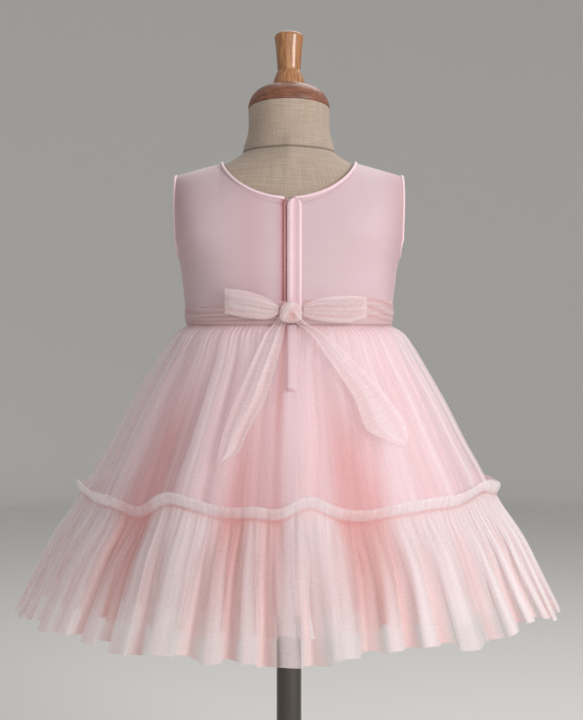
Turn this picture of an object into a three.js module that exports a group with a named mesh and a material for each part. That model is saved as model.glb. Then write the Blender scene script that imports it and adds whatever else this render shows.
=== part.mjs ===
import * as THREE from 'three';

// Toddler party dress on a limbless dress form. Millimetres, +Z up, the base stands on z = 0.
// The back of the dress faces -Y and its front +Y. An angle round the dress starts at the
// centre back and grows towards +X, so 90 and 270 degrees are the side seams.

const { lerp, clamp, smoothstep, degToRad, euclideanModulo } = THREE.MathUtils;
const TURN = Math.PI * 2;
const QUARTER = Math.PI / 2;

// Gap left between neighbouring pieces, and cloth wall thicknesses
const GAP = 0.3;
const WALL = { bodice: 1.4, tulle: 1.1, net: 1.0, lining: 1.1, ribbon: 1.0, sash: 1.5, lap: 1.2 };

// Heights of the dress
const WAIST_Z = 607;
const UNDERARM_Z = 672;
const CHEST_Z = 690;
const TIER_SEAM_Z = 440;

// Neck points and shoulder tips; the neckline drops below the neck points by back and front
const NECK = { halfWidth: 66, z: 766, spread: 2.67 };
const NECKLINE = { back: { drop: 41, curve: 0.62 }, front: { drop: 56, curve: 0.55 } };
const SHOULDER_TIP = { halfWidth: 113, z: 754 };
const ARMHOLE_DEPTH = 38;

// The cloth arches over the shoulder from the chest line; inside the neck points the arch's
// ridge would go on rising by so much for each millimetre
const ARCH = { halfWidth: 117, fullZ: 736, power: 0.375, ridgeRise: 0.55 };

// Half sections of the bodice; power is the exponent of the superellipse
const BODICE_SECTIONS = [
  { z: 607, halfWidth: 100.6, halfDepth: 77.3, power: 2.2 },
  { z: 642, halfWidth: 104.2, halfDepth: 79.2, power: 2.5 },
  { z: 672, halfWidth: 108.2, halfDepth: 80.0, power: 2.9 },
  { z: 690, halfWidth: 112.5, halfDepth: 80.0, power: 3.3 },
];
const BODICE_ROWS_Z = [607, 631, 653, 672, 675, 681, 690];
const ARCH_ROWS = [0.28, 0.5, 0.7, 0.85, 0.95, 1];
const HALF_COLUMNS = 11;
const NECK_COLUMN = 8;

// Mean half sections of the gathered layers, hem first
const UPPER_SECTIONS = [
  { z: 420, halfWidth: 211, halfDepth: 193 },
  { z: 440, halfWidth: 201, halfDepth: 183 },
  { z: 462, halfWidth: 191, halfDepth: 172 },
  { z: 492, halfWidth: 174.5, halfDepth: 154 },
  { z: 527, halfWidth: 157, halfDepth: 135.5 },
  { z: 562, halfWidth: 137.5, halfDepth: 115.5 },
  { z: 587, halfWidth: 122.5, halfDepth: 100 },
  { z: 600, halfWidth: 112, halfDepth: 89.2 },
  { z: 606.7, halfWidth: 100.6, halfDepth: 77.3 },
];
const FLOUNCE_SECTIONS = [
  { z: 330, halfWidth: 261, halfDepth: 241.5 },
  { z: 362, halfWidth: 247, halfDepth: 227 },
  { z: 400, halfWidth: 230, halfDepth: 210 },
  { z: 440, halfWidth: 205.3, halfDepth: 187.3 },
  { z: 451, halfWidth: 207.7, halfDepth: 189.7 },
];
const NET_SECTIONS = [
  { z: 343, halfWidth: 226, halfDepth: 206 },
  { z: 440, halfWidth: 184, halfDepth: 165 },
  { z: 492, halfWidth: 161.5, halfDepth: 141.5 },
  { z: 527, halfWidth: 145.5, halfDepth: 124 },
  { z: 562, halfWidth: 127.5, halfDepth: 105.5 },
  { z: 587, halfWidth: 114.5, halfDepth: 92 },
  { z: 600, halfWidth: 106, halfDepth: 83 },
  { z: 606.7, halfWidth: 98.9, halfDepth: 75.6 },
];
const LINING_SECTIONS = [
  { z: 356, halfWidth: 204, halfDepth: 186 },
  { z: 440, halfWidth: 170, halfDepth: 151 },
  { z: 492, halfWidth: 149, halfDepth: 129 },
  { z: 527, halfWidth: 134.5, halfDepth: 113 },
  { z: 562, halfWidth: 118.5, halfDepth: 96.5 },
  { z: 587, halfWidth: 107.5, halfDepth: 85 },
  { z: 600, halfWidth: 101, halfDepth: 78 },
  { z: 606.7, halfWidth: 97.4, halfDepth: 74.1 },
];

// The skirts are as square as the bodice at the waist and plain ellipses from here down
const ROUND_SKIRT_Z = 570;

// Large flutes of the skirt: how far each pushes the cloth out or in at the tier seam, and how
// far it lifts the seam there
const FLUTES = [
  { angle: -75, width: 9, push: 4, rise: 6 },
  { angle: -41, width: 7, push: -8, rise: -9 },
  { angle: -31, width: 8, push: 5, rise: 9 },
  { angle: -14, width: 5, push: -5, rise: -3 },
  { angle: -3, width: 4, push: -4, rise: -4 },
  { angle: 5, width: 5, push: 5, rise: 8 },
  { angle: 18, width: 8, push: -6, rise: -6 },
  { angle: 39, width: 7, push: 4, rise: 2 },
  { angle: 63, width: 12, push: 4, rise: 10 },
  { angle: 98, width: 9, push: -5, rise: 3 },
  { angle: 121, width: 9, push: 5, rise: 7 },
  { angle: 141, width: 7, push: -7, rise: -7 },
  { angle: 160, width: 8, push: 5, rise: 5 },
  { angle: 181, width: 7, push: -6, rise: -5 },
  { angle: 203, width: 9, push: 5, rise: 7 },
  { angle: 226, width: 7, push: -7, rise: -8 },
  { angle: 248, width: 9, push: 5, rise: 4 },
  { angle: 266, width: 6, push: -4, rise: -2 },
];
const FLUTE_START_Z = 604;

// Steps of the raw-cut hem
const HEM_STEPS = [
  { angle: -62, width: 16, rise: 4 },
  { angle: -8, width: 12, rise: -5 },
  { angle: 24, width: 9, rise: 5 },
  { angle: 55, width: 14, rise: 9 },
  { angle: 128, width: 16, rise: -4 },
  { angle: 170, width: 14, rise: 5 },
  { angle: 215, width: 16, rise: -5 },
  { angle: 250, width: 10, rise: 5 },
];

// Gathered layers. A row gives the fold's depth and how far its flanks lean over, and the share
// it takes of the tier seam's rise and of the hem's steps.
const UPPER = {
  sections: UPPER_SECTIONS,
  rows: [
    { z: 440, fold: 4, lean: 1.2, seam: 1, hem: 0 },
    { z: 500, fold: 3.4, lean: 1.2, seam: 0.4, hem: 0 },
    { z: 556, fold: 2.7, lean: 1, seam: 0.1, hem: 0 },
    { z: 586, fold: 2.1, lean: 0.6, seam: 0, hem: 0 },
    { z: 600, fold: 1.5, lean: 0.3, seam: 0, hem: 0 },
    { z: 606.7, fold: 0, lean: 0, seam: 0, hem: 0 },
  ],
  foldsPerQuarter: 7,
  columnsPerFold: 5,
  wall: WALL.tulle,
  flute: 1,
};
const FLOUNCE = {
  sections: FLOUNCE_SECTIONS,
  rows: [
    { z: 330, fold: 10, lean: 2.2, seam: 0, hem: 1 },
    { z: 400, fold: 6, lean: 1.2, seam: 0.5, hem: 0 },
    { z: 440, fold: 1.5, lean: 0.2, seam: 1, hem: 0 },
    { z: 451, fold: 2.2, lean: 0.5, seam: 1, hem: 0 },
  ],
  foldsPerQuarter: 14,
  columnsPerFold: 5,
  wall: WALL.tulle,
  flute: 1,
};
const NET = {
  sections: NET_SECTIONS,
  rows: [
    { z: 343, fold: 5, lean: 0, seam: 0, hem: 0 },
    { z: 450, fold: 3, lean: 0, seam: 0, hem: 0 },
    { z: 550, fold: 1.6, lean: 0, seam: 0, hem: 0 },
    { z: 598, fold: 0.6, lean: 0, seam: 0, hem: 0 },
    { z: 606.7, fold: 0, lean: 0, seam: 0, hem: 0 },
  ],
  foldsPerQuarter: 4,
  columnsPerFold: 4,
  wall: WALL.net,
  flute: 0.7,
};
const LINING = {
  sections: LINING_SECTIONS,
  rows: [
    { z: 356, fold: 3.5, lean: 0, seam: 0, hem: 0 },
    { z: 450, fold: 2, lean: 0, seam: 0, hem: 0 },
    { z: 550, fold: 1, lean: 0, seam: 0, hem: 0 },
    { z: 598, fold: 0.4, lean: 0, seam: 0, hem: 0 },
    { z: 606.7, fold: 0, lean: 0, seam: 0, hem: 0 },
  ],
  foldsPerQuarter: 3,
  columnsPerFold: 4,
  wall: WALL.lining,
  flute: 0.35,
};

// Sash band, with its upper edge by angle in degrees
const SASH = { bottomZ: 607.6, crown: 0.8, columns: 36 };
const SASH_TOP = [
  { angle: -180, z: 630 },
  { angle: -90, z: 623.5 },
  { angle: -35, z: 625 },
  { angle: 0, z: 629 },
  { angle: 45, z: 634 },
  { angle: 90, z: 626 },
  { angle: 180, z: 630 },
];
const KNOT = { x: 2, z: 618, halfWidth: 11.3, halfHeight: 10, halfDepth: 5.6, power: 2.6, rings: 7, columns: 14 };

// Bow loops, one row for each station from the knot outwards
const LOOP_LEFT = [
  { x: -9.8, low: 616.5, high: 625.5 },
  { x: -17, low: 612.5, high: 630 },
  { x: -34, low: 612.8, high: 636.5 },
  { x: -49, low: 615, high: 639.5 },
  { x: -59, low: 617.3, high: 641.4 },
];
const LOOP_RIGHT = [
  { x: 13.8, low: 614.5, high: 624 },
  { x: 22, low: 611.5, high: 629 },
  { x: 38, low: 609.5, high: 632 },
  { x: 57, low: 609, high: 633.6 },
  { x: 73, low: 613.5, high: 633 },
];
const LOOP = { rows: 4, spread: 3.2, clearance: 2.6, crown: 1 };

// Tails, one row for each station from the knot down
const TAIL_LEFT = [
  { leftX: -14, leftZ: 606.6, rightX: -2.6, rightZ: 606.6 },
  { leftX: -21, leftZ: 600, rightX: -4.2, rightZ: 600 },
  { leftX: -25.4, leftZ: 591, rightX: -5.8, rightZ: 591 },
  { leftX: -32.9, leftZ: 574, rightX: -10.4, rightZ: 574 },
  { leftX: -40, leftZ: 557, rightX: -15.5, rightZ: 557 },
  { leftX: -47.3, leftZ: 540, rightX: -20.7, rightZ: 540 },
  { leftX: -53.7, leftZ: 525, rightX: -28.6, rightZ: 525 },
  { leftX: -58.7, leftZ: 510, rightX: -36.5, rightZ: 510 },
  { leftX: -62.4, leftZ: 493, rightX: -44.3, rightZ: 493 },
  { leftX: -64.5, leftZ: 482, rightX: -60.5, rightZ: 484 },
];
const TAIL_RIGHT = [
  { leftX: 9, leftZ: 606.6, rightX: 17.5, rightZ: 606.6 },
  { leftX: 18, leftZ: 600, rightX: 31, rightZ: 600.6 },
  { leftX: 25, leftZ: 592, rightX: 42, rightZ: 592 },
  { leftX: 34, leftZ: 579, rightX: 57, rightZ: 577 },
  { leftX: 43.5, leftZ: 565, rightX: 75, rightZ: 558 },
  { leftX: 53, leftZ: 550, rightX: 86, rightZ: 546 },
  { leftX: 61, leftZ: 536, rightX: 94, rightZ: 535 },
  { leftX: 70, leftZ: 513, rightX: 104, rightZ: 520 },
  { leftX: 88, leftZ: 503, rightX: 107, rightZ: 506 },
  { leftX: 105, leftZ: 496, rightX: 107.5, rightZ: 498 },
];
const TAIL = { columns: 4, crease: 0.8, ease: 1.5 };

// Zip lap down the bodice back, and the placket strip that carries it on down the skirt
const LAP = { left: -1.7, right: 12.5, bottomZ: 630, columns: 2 };
const PLACKET = { left: -1.6, right: 7.2, columns: 2, ease: 1.8 };
const PLACKET_ROWS_Z = [606, 599, 586, 571, 559, 547];
const BINDING = { gap: 0.4, width: 1.6, proud: 0.4, inner: 0.2, clearOfLap: 1 };

// Dress form: the bodice's own body drawn in by these insets, with flat shoulder plates, and a
// neck column blended into it
const FORM = { waistInset: 6.6, chestInset: 5, ridgeInset: 2.2, plate: 107, plateBlend: 24, neckBlend: 14 };
const FORM_COLUMNS = { count: 32, crowding: 0.6 };
const FORM_ROWS_Z = [
  488, 506, 530, 560, 585, 607, 640, 672, 695, 715, 732, 744, 751, 756, 760, 764, 770, 778, 788, 803, 821,
];
const FORM_SECTIONS = [
  { z: 488, halfWidth: 86, halfDepth: 64 },
  { z: 506, halfWidth: 96.5, halfDepth: 73 },
  { z: 530, halfWidth: 100.5, halfDepth: 77 },
  { z: 560, halfWidth: 99.5, halfDepth: 76.5 },
  { z: 585, halfWidth: 96, halfDepth: 73 },
  { z: 607, halfWidth: 94, halfDepth: 70.7 },
];
const NECK_SECTIONS = [
  { z: 690, halfWidth: 30, halfDepth: 30 },
  { z: 758, halfWidth: 44, halfDepth: 43 },
  { z: 774, halfWidth: 46, halfDepth: 44 },
  { z: 783, halfWidth: 45, halfDepth: 43.5 },
  { z: 797, halfWidth: 41, halfDepth: 41 },
  { z: 821, halfWidth: 40.3, halfDepth: 40.3 },
];
const NECK_TILT = { angle: degToRad(7), fromZ: 775, fullZ: 815 };

// Turned profiles: radius against height above the piece's own foot
const CAP_PROFILE = [
  { radius: 0, z: 0 },
  { radius: 39.6, z: 0 },
  { radius: 41, z: 1.4 },
  { radius: 40.6, z: 6 },
  { radius: 38.2, z: 14 },
  { radius: 33, z: 21.5 },
  { radius: 24.5, z: 26.2 },
  { radius: 16.2, z: 27.6 },
  { radius: 0, z: 27.6 },
];
const FINIAL_PROFILE = [
  { radius: 0, z: 0 },
  { radius: 15.4, z: 0 },
  { radius: 16, z: 1.6 },
  { radius: 15.3, z: 6.5 },
  { radius: 13.2, z: 12 },
  { radius: 11.4, z: 15.6 },
  { radius: 11.6, z: 16.8 },
  { radius: 12.2, z: 26 },
  { radius: 13.6, z: 41 },
  { radius: 14.5, z: 48.5 },
  { radius: 13.6, z: 50.9 },
  { radius: 11.8, z: 51.5 },
  { radius: 0, z: 51.5 },
];
const BASE_PROFILE = [
  { radius: 0, z: 0 },
  { radius: 138.5, z: 0 },
  { radius: 140, z: 1.5 },
  { radius: 140, z: 5.5 },
  { radius: 136.5, z: 8.4 },
  { radius: 130, z: 9 },
  { radius: 0, z: 9 },
];
const POLE_RADIUS = 12.5;
const SEGMENTS = { base: 36, pole: 24, cap: 28, finial: 20 };

// Smooth curve through one column of a table whose axis column rises
function curveThrough(rows, axis, column) {
  const knots = rows.map((row) => row[axis]);
  const values = rows.map((row) => row[column]);
  const spline = new THREE.CubicInterpolant(knots, values, 1);
  return (at) => spline.evaluate(clamp(at, knots[0], knots[knots.length - 1]))[0];
}

function halfSections(rows) {
  const width = curveThrough(rows, 'z', 'halfWidth');
  const depth = curveThrough(rows, 'z', 'halfDepth');
  return (z) => ({ halfWidth: width(z), halfDepth: depth(z) });
}

// Sum of the bell-shaped bumps of a table whose rows give an angle and a width in degrees
function bumps(rows, column, angle) {
  return rows.reduce((sum, row) => {
    const away = euclideanModulo(angle - degToRad(row.angle) + Math.PI, TURN) - Math.PI;
    return sum + row[column] * Math.exp(-((away / degToRad(row.width)) ** 2));
  }, 0);
}

const signedPower = (value, power) => Math.sign(value) * Math.abs(value) ** power;

function range(from, to) {
  return Array.from({ length: Math.abs(to - from) + 1 }, (_, k) => from + k * Math.sign(to - from));
}

// Point of a superellipse at an angle from the centre back, with its outward normal
function planPoint({ halfWidth, halfDepth }, power, angle) {
  const across = signedPower(Math.sin(angle), 2 / power);
  const back = signedPower(Math.cos(angle), 2 / power);
  const normal = new THREE.Vector3(
    signedPower(across, power - 1) / halfWidth,
    -signedPower(back, power - 1) / halfDepth,
    0,
  );
  return { point: new THREE.Vector3(halfWidth * across, -halfDepth * back, 0), normal: normal.normalize() };
}

// Outward direction at each point of a grid, longer where the wall folds sharply so that an
// offset wall keeps its thickness. adjust may turn the direction square to a seam.
function outwards(grid, ring, adjust) {
  const last = grid.length - 1;
  const columns = grid[0].length;
  return grid.map((row, i) => row.map((point, j) => {
    const before = ring ? row[(j + columns - 1) % columns] : row[Math.max(j - 1, 0)];
    const after = ring ? row[(j + 1) % columns] : row[Math.min(j + 1, columns - 1)];
    const left = point.clone().sub(before).normalize();
    const right = after.clone().sub(point).normalize();
    const along = left.clone().add(right);
    const down = grid[Math.min(i + 1, last)][j].clone().sub(grid[Math.max(i - 1, 0)][j]);
    const sharpness = left.lengthSq() && right.lengthSq() ? along.length() / 2 : 1;
    const normal = down.cross(along).normalize();
    if (adjust) adjust(normal, i, j);
    return normal.normalize().divideScalar(Math.max(sharpness, 0.6));
  }));
}

function shifted(grid, directions, distance) {
  return grid.map((row, i) => row.map((point, j) => point.clone().addScaledVector(directions[i][j], distance)));
}

function closedMesh(points, index) {
  const geometry = new THREE.BufferGeometry();
  geometry.setAttribute('position', new THREE.Float32BufferAttribute(points.flatMap((p) => p.toArray()), 3));
  geometry.setIndex(index);
  geometry.computeVertexNormals();
  return geometry;
}

// Closed wall between an outer and an inner skin. Rows run down and columns run with the angle.
function wallBetween(outer, inner, ring = false) {
  const last = outer.length - 1;
  const columns = outer[0].length;
  const cells = ring ? columns : columns - 1;
  const outside = (i, j) => i * columns + (j % columns);
  const inside = (i, j) => outer.length * columns + outside(i, j);
  const index = [];
  const quad = (a, b, c, d) => index.push(a, b, c, a, c, d);
  for (let j = 0; j < cells; j += 1) {
    for (let i = 0; i < last; i += 1) {
      quad(outside(i, j), outside(i + 1, j), outside(i + 1, j + 1), outside(i, j + 1));
      quad(inside(i, j), inside(i, j + 1), inside(i + 1, j + 1), inside(i + 1, j));
    }
    quad(outside(0, j), outside(0, j + 1), inside(0, j + 1), inside(0, j));
    quad(outside(last, j + 1), outside(last, j), inside(last, j), inside(last, j + 1));
  }
  for (let i = 0; i < last && !ring; i += 1) {
    quad(outside(i + 1, 0), outside(i, 0), inside(i, 0), inside(i + 1, 0));
    quad(outside(i, cells), outside(i + 1, cells), inside(i + 1, cells), inside(i, cells));
  }
  return closedMesh([outer, inner].flat(2), index);
}

// Wall of even thickness about a middle surface
function wallAbout(grid, thickness, { ring = false, adjust = null } = {}) {
  const directions = outwards(grid, ring, adjust);
  return wallBetween(shifted(grid, directions, thickness / 2), shifted(grid, directions, -thickness / 2), ring);
}

// Solid whose rings of points run from its top to its foot, closed by a fan at each end
function ringSolid(rings) {
  const last = rings.length - 1;
  const columns = rings[0].length;
  const centre = (ring) => ring.reduce((sum, p) => sum.add(p), new THREE.Vector3()).divideScalar(columns);
  const at = (i, j) => i * columns + (j % columns);
  const top = rings.length * columns;
  const index = [];
  for (let j = 0; j < columns; j += 1) {
    for (let i = 0; i < last; i += 1) {
      index.push(at(i, j), at(i + 1, j), at(i + 1, j + 1), at(i, j), at(i + 1, j + 1), at(i, j + 1));
    }
    index.push(top, at(0, j), at(0, j + 1));
    index.push(top + 1, at(last, j + 1), at(last, j));
  }
  return closedMesh([...rings.flat(), centre(rings[0]), centre(rings[last])], index);
}

// Piece turned about the Z axis
function turned(profile, segments) {
  const outline = profile.map(({ radius, z }) => new THREE.Vector2(radius, z));
  return new THREE.LatheGeometry(outline, segments).rotateX(QUARTER);
}

// Bodice
const bodicePower = curveThrough(BODICE_SECTIONS, 'z', 'power');
const bodiceSection = halfSections(BODICE_SECTIONS);

// Height of the shoulder line at a distance from the centre
function ridgeHeight(x) {
  const inward = NECK.halfWidth - x;
  const slope = (NECK.z - SHOULDER_TIP.z) / (SHOULDER_TIP.halfWidth - NECK.halfWidth);
  return NECK.z + inward * (inward > 0 ? ARCH.ridgeRise : slope);
}

// Half depth of the worn body at a distance from the centre and a height
function bodyDepth(x, z, sideInset = 0, ridgeInset = 0) {
  const { halfWidth, halfDepth } = bodiceSection(z);
  const power = bodicePower(z);
  const widened = lerp(halfWidth, ARCH.halfWidth, smoothstep(z, CHEST_Z, ARCH.fullZ));
  const across = x / (widened - sideInset);
  if (across >= 1) return 0;
  const depth = (halfDepth - sideInset) * (1 - across ** power) ** (1 / power);
  const up = (z - CHEST_Z) / (ridgeHeight(x) - ridgeInset - CHEST_Z);
  if (up <= 0) return depth;
  return up >= 1 ? 0 : depth * (1 - up * up) ** ARCH.power;
}

// Angle of the panel's side edge: the side seam, then the armhole
function sideAngle(z) {
  if (z <= UNDERARM_Z) return QUARTER;
  const up = (z - UNDERARM_Z) / (CHEST_Z - UNDERARM_Z);
  const edge = ARMHOLE_DEPTH * Math.sqrt(1 - (1 - up) ** 2);
  return Math.acos((edge / bodiceSection(z).halfDepth) ** (bodicePower(z) / 2));
}

// Half panel from the centre line to the side, neckline row first, as it lies at the back right
function halfPanel({ drop, curve }) {
  const columns = range(0, HALF_COLUMNS);
  const bodyPoint = (z, j) => {
    const { point } = planPoint(bodiceSection(z), bodicePower(z), sideAngle(z) * (j / HALF_COLUMNS));
    return point.setZ(z);
  };
  const top = columns.map((j) => {
    if (j >= NECK_COLUMN) {
      const out = (j - NECK_COLUMN) / (HALF_COLUMNS - NECK_COLUMN);
      const x = lerp(NECK.halfWidth, SHOULDER_TIP.halfWidth, out);
      return { x, z: ridgeHeight(x) };
    }
    const dropped = Math.sin(QUARTER * (1 - j / NECK_COLUMN)) ** NECK.spread;
    return { x: NECK.halfWidth * Math.sqrt(1 - dropped ** (1 / curve)), z: NECK.z - drop * dropped };
  });
  const archPoint = (step, j) => {
    const x = lerp(bodyPoint(CHEST_Z, j).x, top[j].x, step);
    const z = lerp(CHEST_Z, top[j].z, Math.sin(QUARTER * step));
    return new THREE.Vector3(x, -bodyDepth(x, z), z);
  };
  const body = BODICE_ROWS_Z.map((z) => columns.map((j) => bodyPoint(z, j)));
  const arch = ARCH_ROWS.map((step) => columns.map((j) => archPoint(step, j)));
  return [...body, ...arch].reverse();
}

const moveGrid = (grid, x, y) => grid.map((row) => row.map((p) => new THREE.Vector3(p.x + x, p.y + y, p.z)));
const mirrorGrid = (grid) => grid.map((row) => row.map((p) => new THREE.Vector3(-p.x, p.y, p.z)).reverse());
const turnGrid = (grid) => grid.map((row) => row.map((p) => new THREE.Vector3(-p.x, -p.y, p.z)));

const BACK_HALF = halfPanel(NECKLINE.back);
const FRONT_LEFT = turnGrid(halfPanel(NECKLINE.front));
const FRONT_RIGHT = turnGrid(mirrorGrid(halfPanel(NECKLINE.front)));
const UNDERARM_ROW = BACK_HALF.findIndex((row) => row[HALF_COLUMNS].z === UNDERARM_Z);

// Panels parted at the centre back and at the side and shoulder seams. Directions lie square to
// each seam, so that the walls either side of it stay apart.
function panelOf(grid, centre, sides) {
  const directions = outwards(grid, false, (normal, i, j) => {
    const fromSide = Math.min(...sides.map((side) => Math.abs(side - j)));
    if (i === grid.length - 1) normal.z = 0;
    if (j === centre) normal.x = 0;
    if (fromSide === 0 && i >= UNDERARM_ROW) normal.y = 0;
    if (i === 0 && fromSide <= HALF_COLUMNS - NECK_COLUMN) normal.set(0, 0, 1);
  });
  return { grid, directions };
}

const PANELS = {
  back_right: panelOf(moveGrid(BACK_HALF, GAP / 2, -GAP / 2), 0, [HALF_COLUMNS]),
  back_left: panelOf(moveGrid(mirrorGrid(BACK_HALF), -GAP / 2, -GAP / 2), HALF_COLUMNS, [0]),
  front: panelOf(
    moveGrid(FRONT_RIGHT.map((row, i) => [...row, ...FRONT_LEFT[i].slice(1)]), 0, GAP / 2),
    HALF_COLUMNS,
    [0, 2 * HALF_COLUMNS],
  ),
};

function bodicePanel({ grid, directions }) {
  return wallBetween(shifted(grid, directions, WALL.bodice / 2), shifted(grid, directions, -WALL.bodice / 2));
}

// Point of a panel's edge with its outward direction
function edgePoint({ grid, directions }, i, j) {
  return { point: grid[i][j].clone(), normal: directions[i][j].clone().normalize() };
}

// One edge point in the middle of a seam
function seamPoint(a, b) {
  return { point: a.point.clone().lerp(b.point, 0.5), normal: a.normal.clone().add(b.normal).normalize() };
}

// Piping that caps an edge of the cloth, made from the edge's points moved out of the panel
function piping(edge, ring) {
  const last = edge.length - 1;
  const beyond = edge.map(({ point, normal }, k) => {
    const before = edge[ring ? (k + last) % edge.length : Math.max(k - 1, 0)].point;
    const after = edge[ring ? (k + 1) % edge.length : Math.min(k + 1, last)].point;
    const along = point.clone().sub(before).normalize().add(after.clone().sub(point).normalize());
    const mitre = before === point || after === point ? 1 : along.length() / 2;
    return normal.clone().cross(along).normalize().divideScalar(Math.max(mitre, 0.6));
  });
  const skin = (height) => [BINDING.gap + BINDING.width, BINDING.gap].map((width) => edge.map(({ point, normal }, k) => (
    point.clone().addScaledVector(beyond[k], width).addScaledVector(normal, height)
  )));
  return wallBetween(skin(WALL.bodice / 2 + BINDING.proud), skin(-BINDING.inner), ring);
}

function neckBinding() {
  const neckEdge = (panel, from, to) => range(from, to).map((j) => edgePoint(panel, 0, j));
  const right = neckEdge(PANELS.back_right, 0, NECK_COLUMN);
  const front = neckEdge(PANELS.front, HALF_COLUMNS - NECK_COLUMN, HALF_COLUMNS + NECK_COLUMN);
  const left = neckEdge(PANELS.back_left, HALF_COLUMNS - NECK_COLUMN, HALF_COLUMNS);
  const cutAt = (end, next, x) => end.point.lerp(next.point, (x - end.point.x) / (next.point.x - end.point.x));
  cutAt(right[0], right[1], LAP.right + BINDING.clearOfLap);
  cutAt(left[NECK_COLUMN], left[NECK_COLUMN - 1], LAP.left - BINDING.clearOfLap);
  return piping([
    ...right.slice(0, -1),
    seamPoint(right[NECK_COLUMN], front[0]),
    ...front.slice(1, -1),
    seamPoint(front[front.length - 1], left[0]),
    ...left.slice(1),
  ], false);
}

// Ring round an armhole, running with the angle at the underarm
function armholeBinding(side) {
  const edge = (panel, column) => range(0, UNDERARM_ROW).map((i) => edgePoint(panel, i, column));
  const back = side > 0 ? edge(PANELS.back_right, HALF_COLUMNS) : edge(PANELS.back_left, 0);
  const front = edge(PANELS.front, side > 0 ? 0 : 2 * HALF_COLUMNS);
  const [down, up] = side > 0 ? [back, front] : [front, back];
  return piping([
    seamPoint(down[0], up[0]),
    ...down.slice(1, -1),
    seamPoint(down[UNDERARM_ROW], up[UNDERARM_ROW]),
    ...up.slice(1, -1).reverse(),
  ], true);
}

// Lap of the zip, flat across the centre back from the neckline to the sash
function zipLap() {
  const lift = GAP / 2 + WALL.bodice / 2 + GAP;
  const centre = BACK_HALF.map((row) => row[0]).filter((p) => p.z > LAP.bottomZ);
  const foot = new THREE.Vector3(0, -bodyDepth(0, LAP.bottomZ), LAP.bottomZ);
  const skin = (height) => [...centre, foot].map((p) => range(0, LAP.columns).map((k) => (
    new THREE.Vector3(lerp(LAP.left, LAP.right, k / LAP.columns), p.y - height, p.z)
  )));
  return wallBetween(skin(lift + WALL.lap), skin(lift));
}

// Gathered skirts
const upperSection = halfSections(UPPER_SECTIONS);
const seamRise = (angle) => bumps(FLUTES, 'rise', angle);

function flutePush(angle, z) {
  return bumps(FLUTES, 'push', angle) * smoothstep(FLUTE_START_Z - z, 0, FLUTE_START_Z - TIER_SEAM_Z);
}

function skirtPower(z) {
  return lerp(2, BODICE_SECTIONS[0].power, smoothstep(z, ROUND_SKIRT_Z, WAIST_Z));
}

// Folds drift from even spacing and differ in depth; the drift is nil at each quarter's end
const foldDrift = (angle) => Math.sin(2 * angle) * (0.05 + 0.04 * Math.sin(angle + 0.7) + 0.03 * Math.sin(3 * angle));
const foldSize = (angle) => 0.78 + 0.14 * Math.sin(5 * angle + 1.3) + 0.08 * Math.sin(11 * angle);

// Middle surface of a gathered layer between two quarter marks, waist row first
function gatheredGrid(layer, from, to) {
  const section = halfSections(layer.sections);
  const columns = (to - from) * layer.foldsPerQuarter * layer.columnsPerFold;
  const point = (row, k) => {
    const even = QUARTER * lerp(from, to, k / columns);
    const angle = even + foldDrift(even);
    const phase = TURN * (k / layer.columnsPerFold);
    const rise = seamRise(angle);
    const risen = upperSection(TIER_SEAM_Z + rise);
    const level = upperSection(TIER_SEAM_Z);
    const { halfWidth, halfDepth } = section(row.z);
    const push = flutePush(angle, row.z) * layer.flute;
    const plan = planPoint({
      halfWidth: halfWidth + push + row.seam * (risen.halfWidth - level.halfWidth),
      halfDepth: halfDepth + push + row.seam * (risen.halfDepth - level.halfDepth),
    }, skirtPower(row.z), angle);
    const tangent = new THREE.Vector3(-plan.normal.y, plan.normal.x, 0);
    const seamShift = (k === 0 ? GAP / 2 : 0) - (k === columns ? GAP / 2 : 0);
    return plan.point
      .addScaledVector(plan.normal, row.fold * foldSize(angle) * Math.cos(phase))
      .addScaledVector(tangent, row.lean * Math.sin(2 * phase) + seamShift)
      .setZ(row.z + row.seam * rise + row.hem * bumps(HEM_STEPS, 'rise', angle));
  };
  return [...layer.rows].reverse().map((row) => range(0, columns).map((k) => point(row, k)));
}

// Wall of a gathered layer, level at the waist and square to the seams at its two side edges
function gatheredPanel(layer, from, to) {
  const grid = gatheredGrid(layer, from, to);
  const edges = [[0, from], [grid[0].length - 1, to]];
  const adjust = (normal, i, j) => {
    if (i === 0) normal.z = 0;
    for (const [column, quarter] of edges) {
      if (j === column && quarter % 2 === 0) normal.x = 0;
      if (j === column && quarter % 2 !== 0) normal.y = 0;
    }
  };
  return wallAbout(grid, layer.wall, { adjust });
}

// Depth of the upper skirt's crests at a place on its back, moved out by a lift
const upperFold = curveThrough(UPPER.rows, 'z', 'fold');

function skirtDepth(x, z, lift) {
  const { halfWidth, halfDepth } = upperSection(z);
  const power = skirtPower(z);
  const out = upperFold(z) + WALL.tulle / 2 + lift;
  const across = Math.abs(x) / (halfWidth + out);
  const push = flutePush(Math.asin(across ** (power / 2)) * Math.sign(x), z);
  return (halfDepth + out + Math.max(push, 0)) * (1 - across ** power) ** (1 / power);
}

function tail(stations) {
  const lift = GAP + WALL.ribbon / 2 + TAIL.ease;
  const grid = stations.map(({ leftX, leftZ, rightX, rightZ }) => range(0, TAIL.columns).map((k) => {
    const u = k / TAIL.columns;
    const x = lerp(leftX, rightX, u);
    const z = lerp(leftZ, rightZ, u);
    return new THREE.Vector3(x, -skirtDepth(x, z, lift) - TAIL.crease * Math.sin(Math.PI * u), z);
  }));
  return wallAbout(grid, WALL.ribbon);
}

function placket() {
  const lift = GAP + WALL.ribbon / 2 + PLACKET.ease;
  const grid = PLACKET_ROWS_Z.map((z) => range(0, PLACKET.columns).map((k) => {
    const x = lerp(PLACKET.left, PLACKET.right, k / PLACKET.columns);
    return new THREE.Vector3(x, -skirtDepth(x, z, lift), z);
  }));
  return wallAbout(grid, WALL.ribbon);
}

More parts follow.
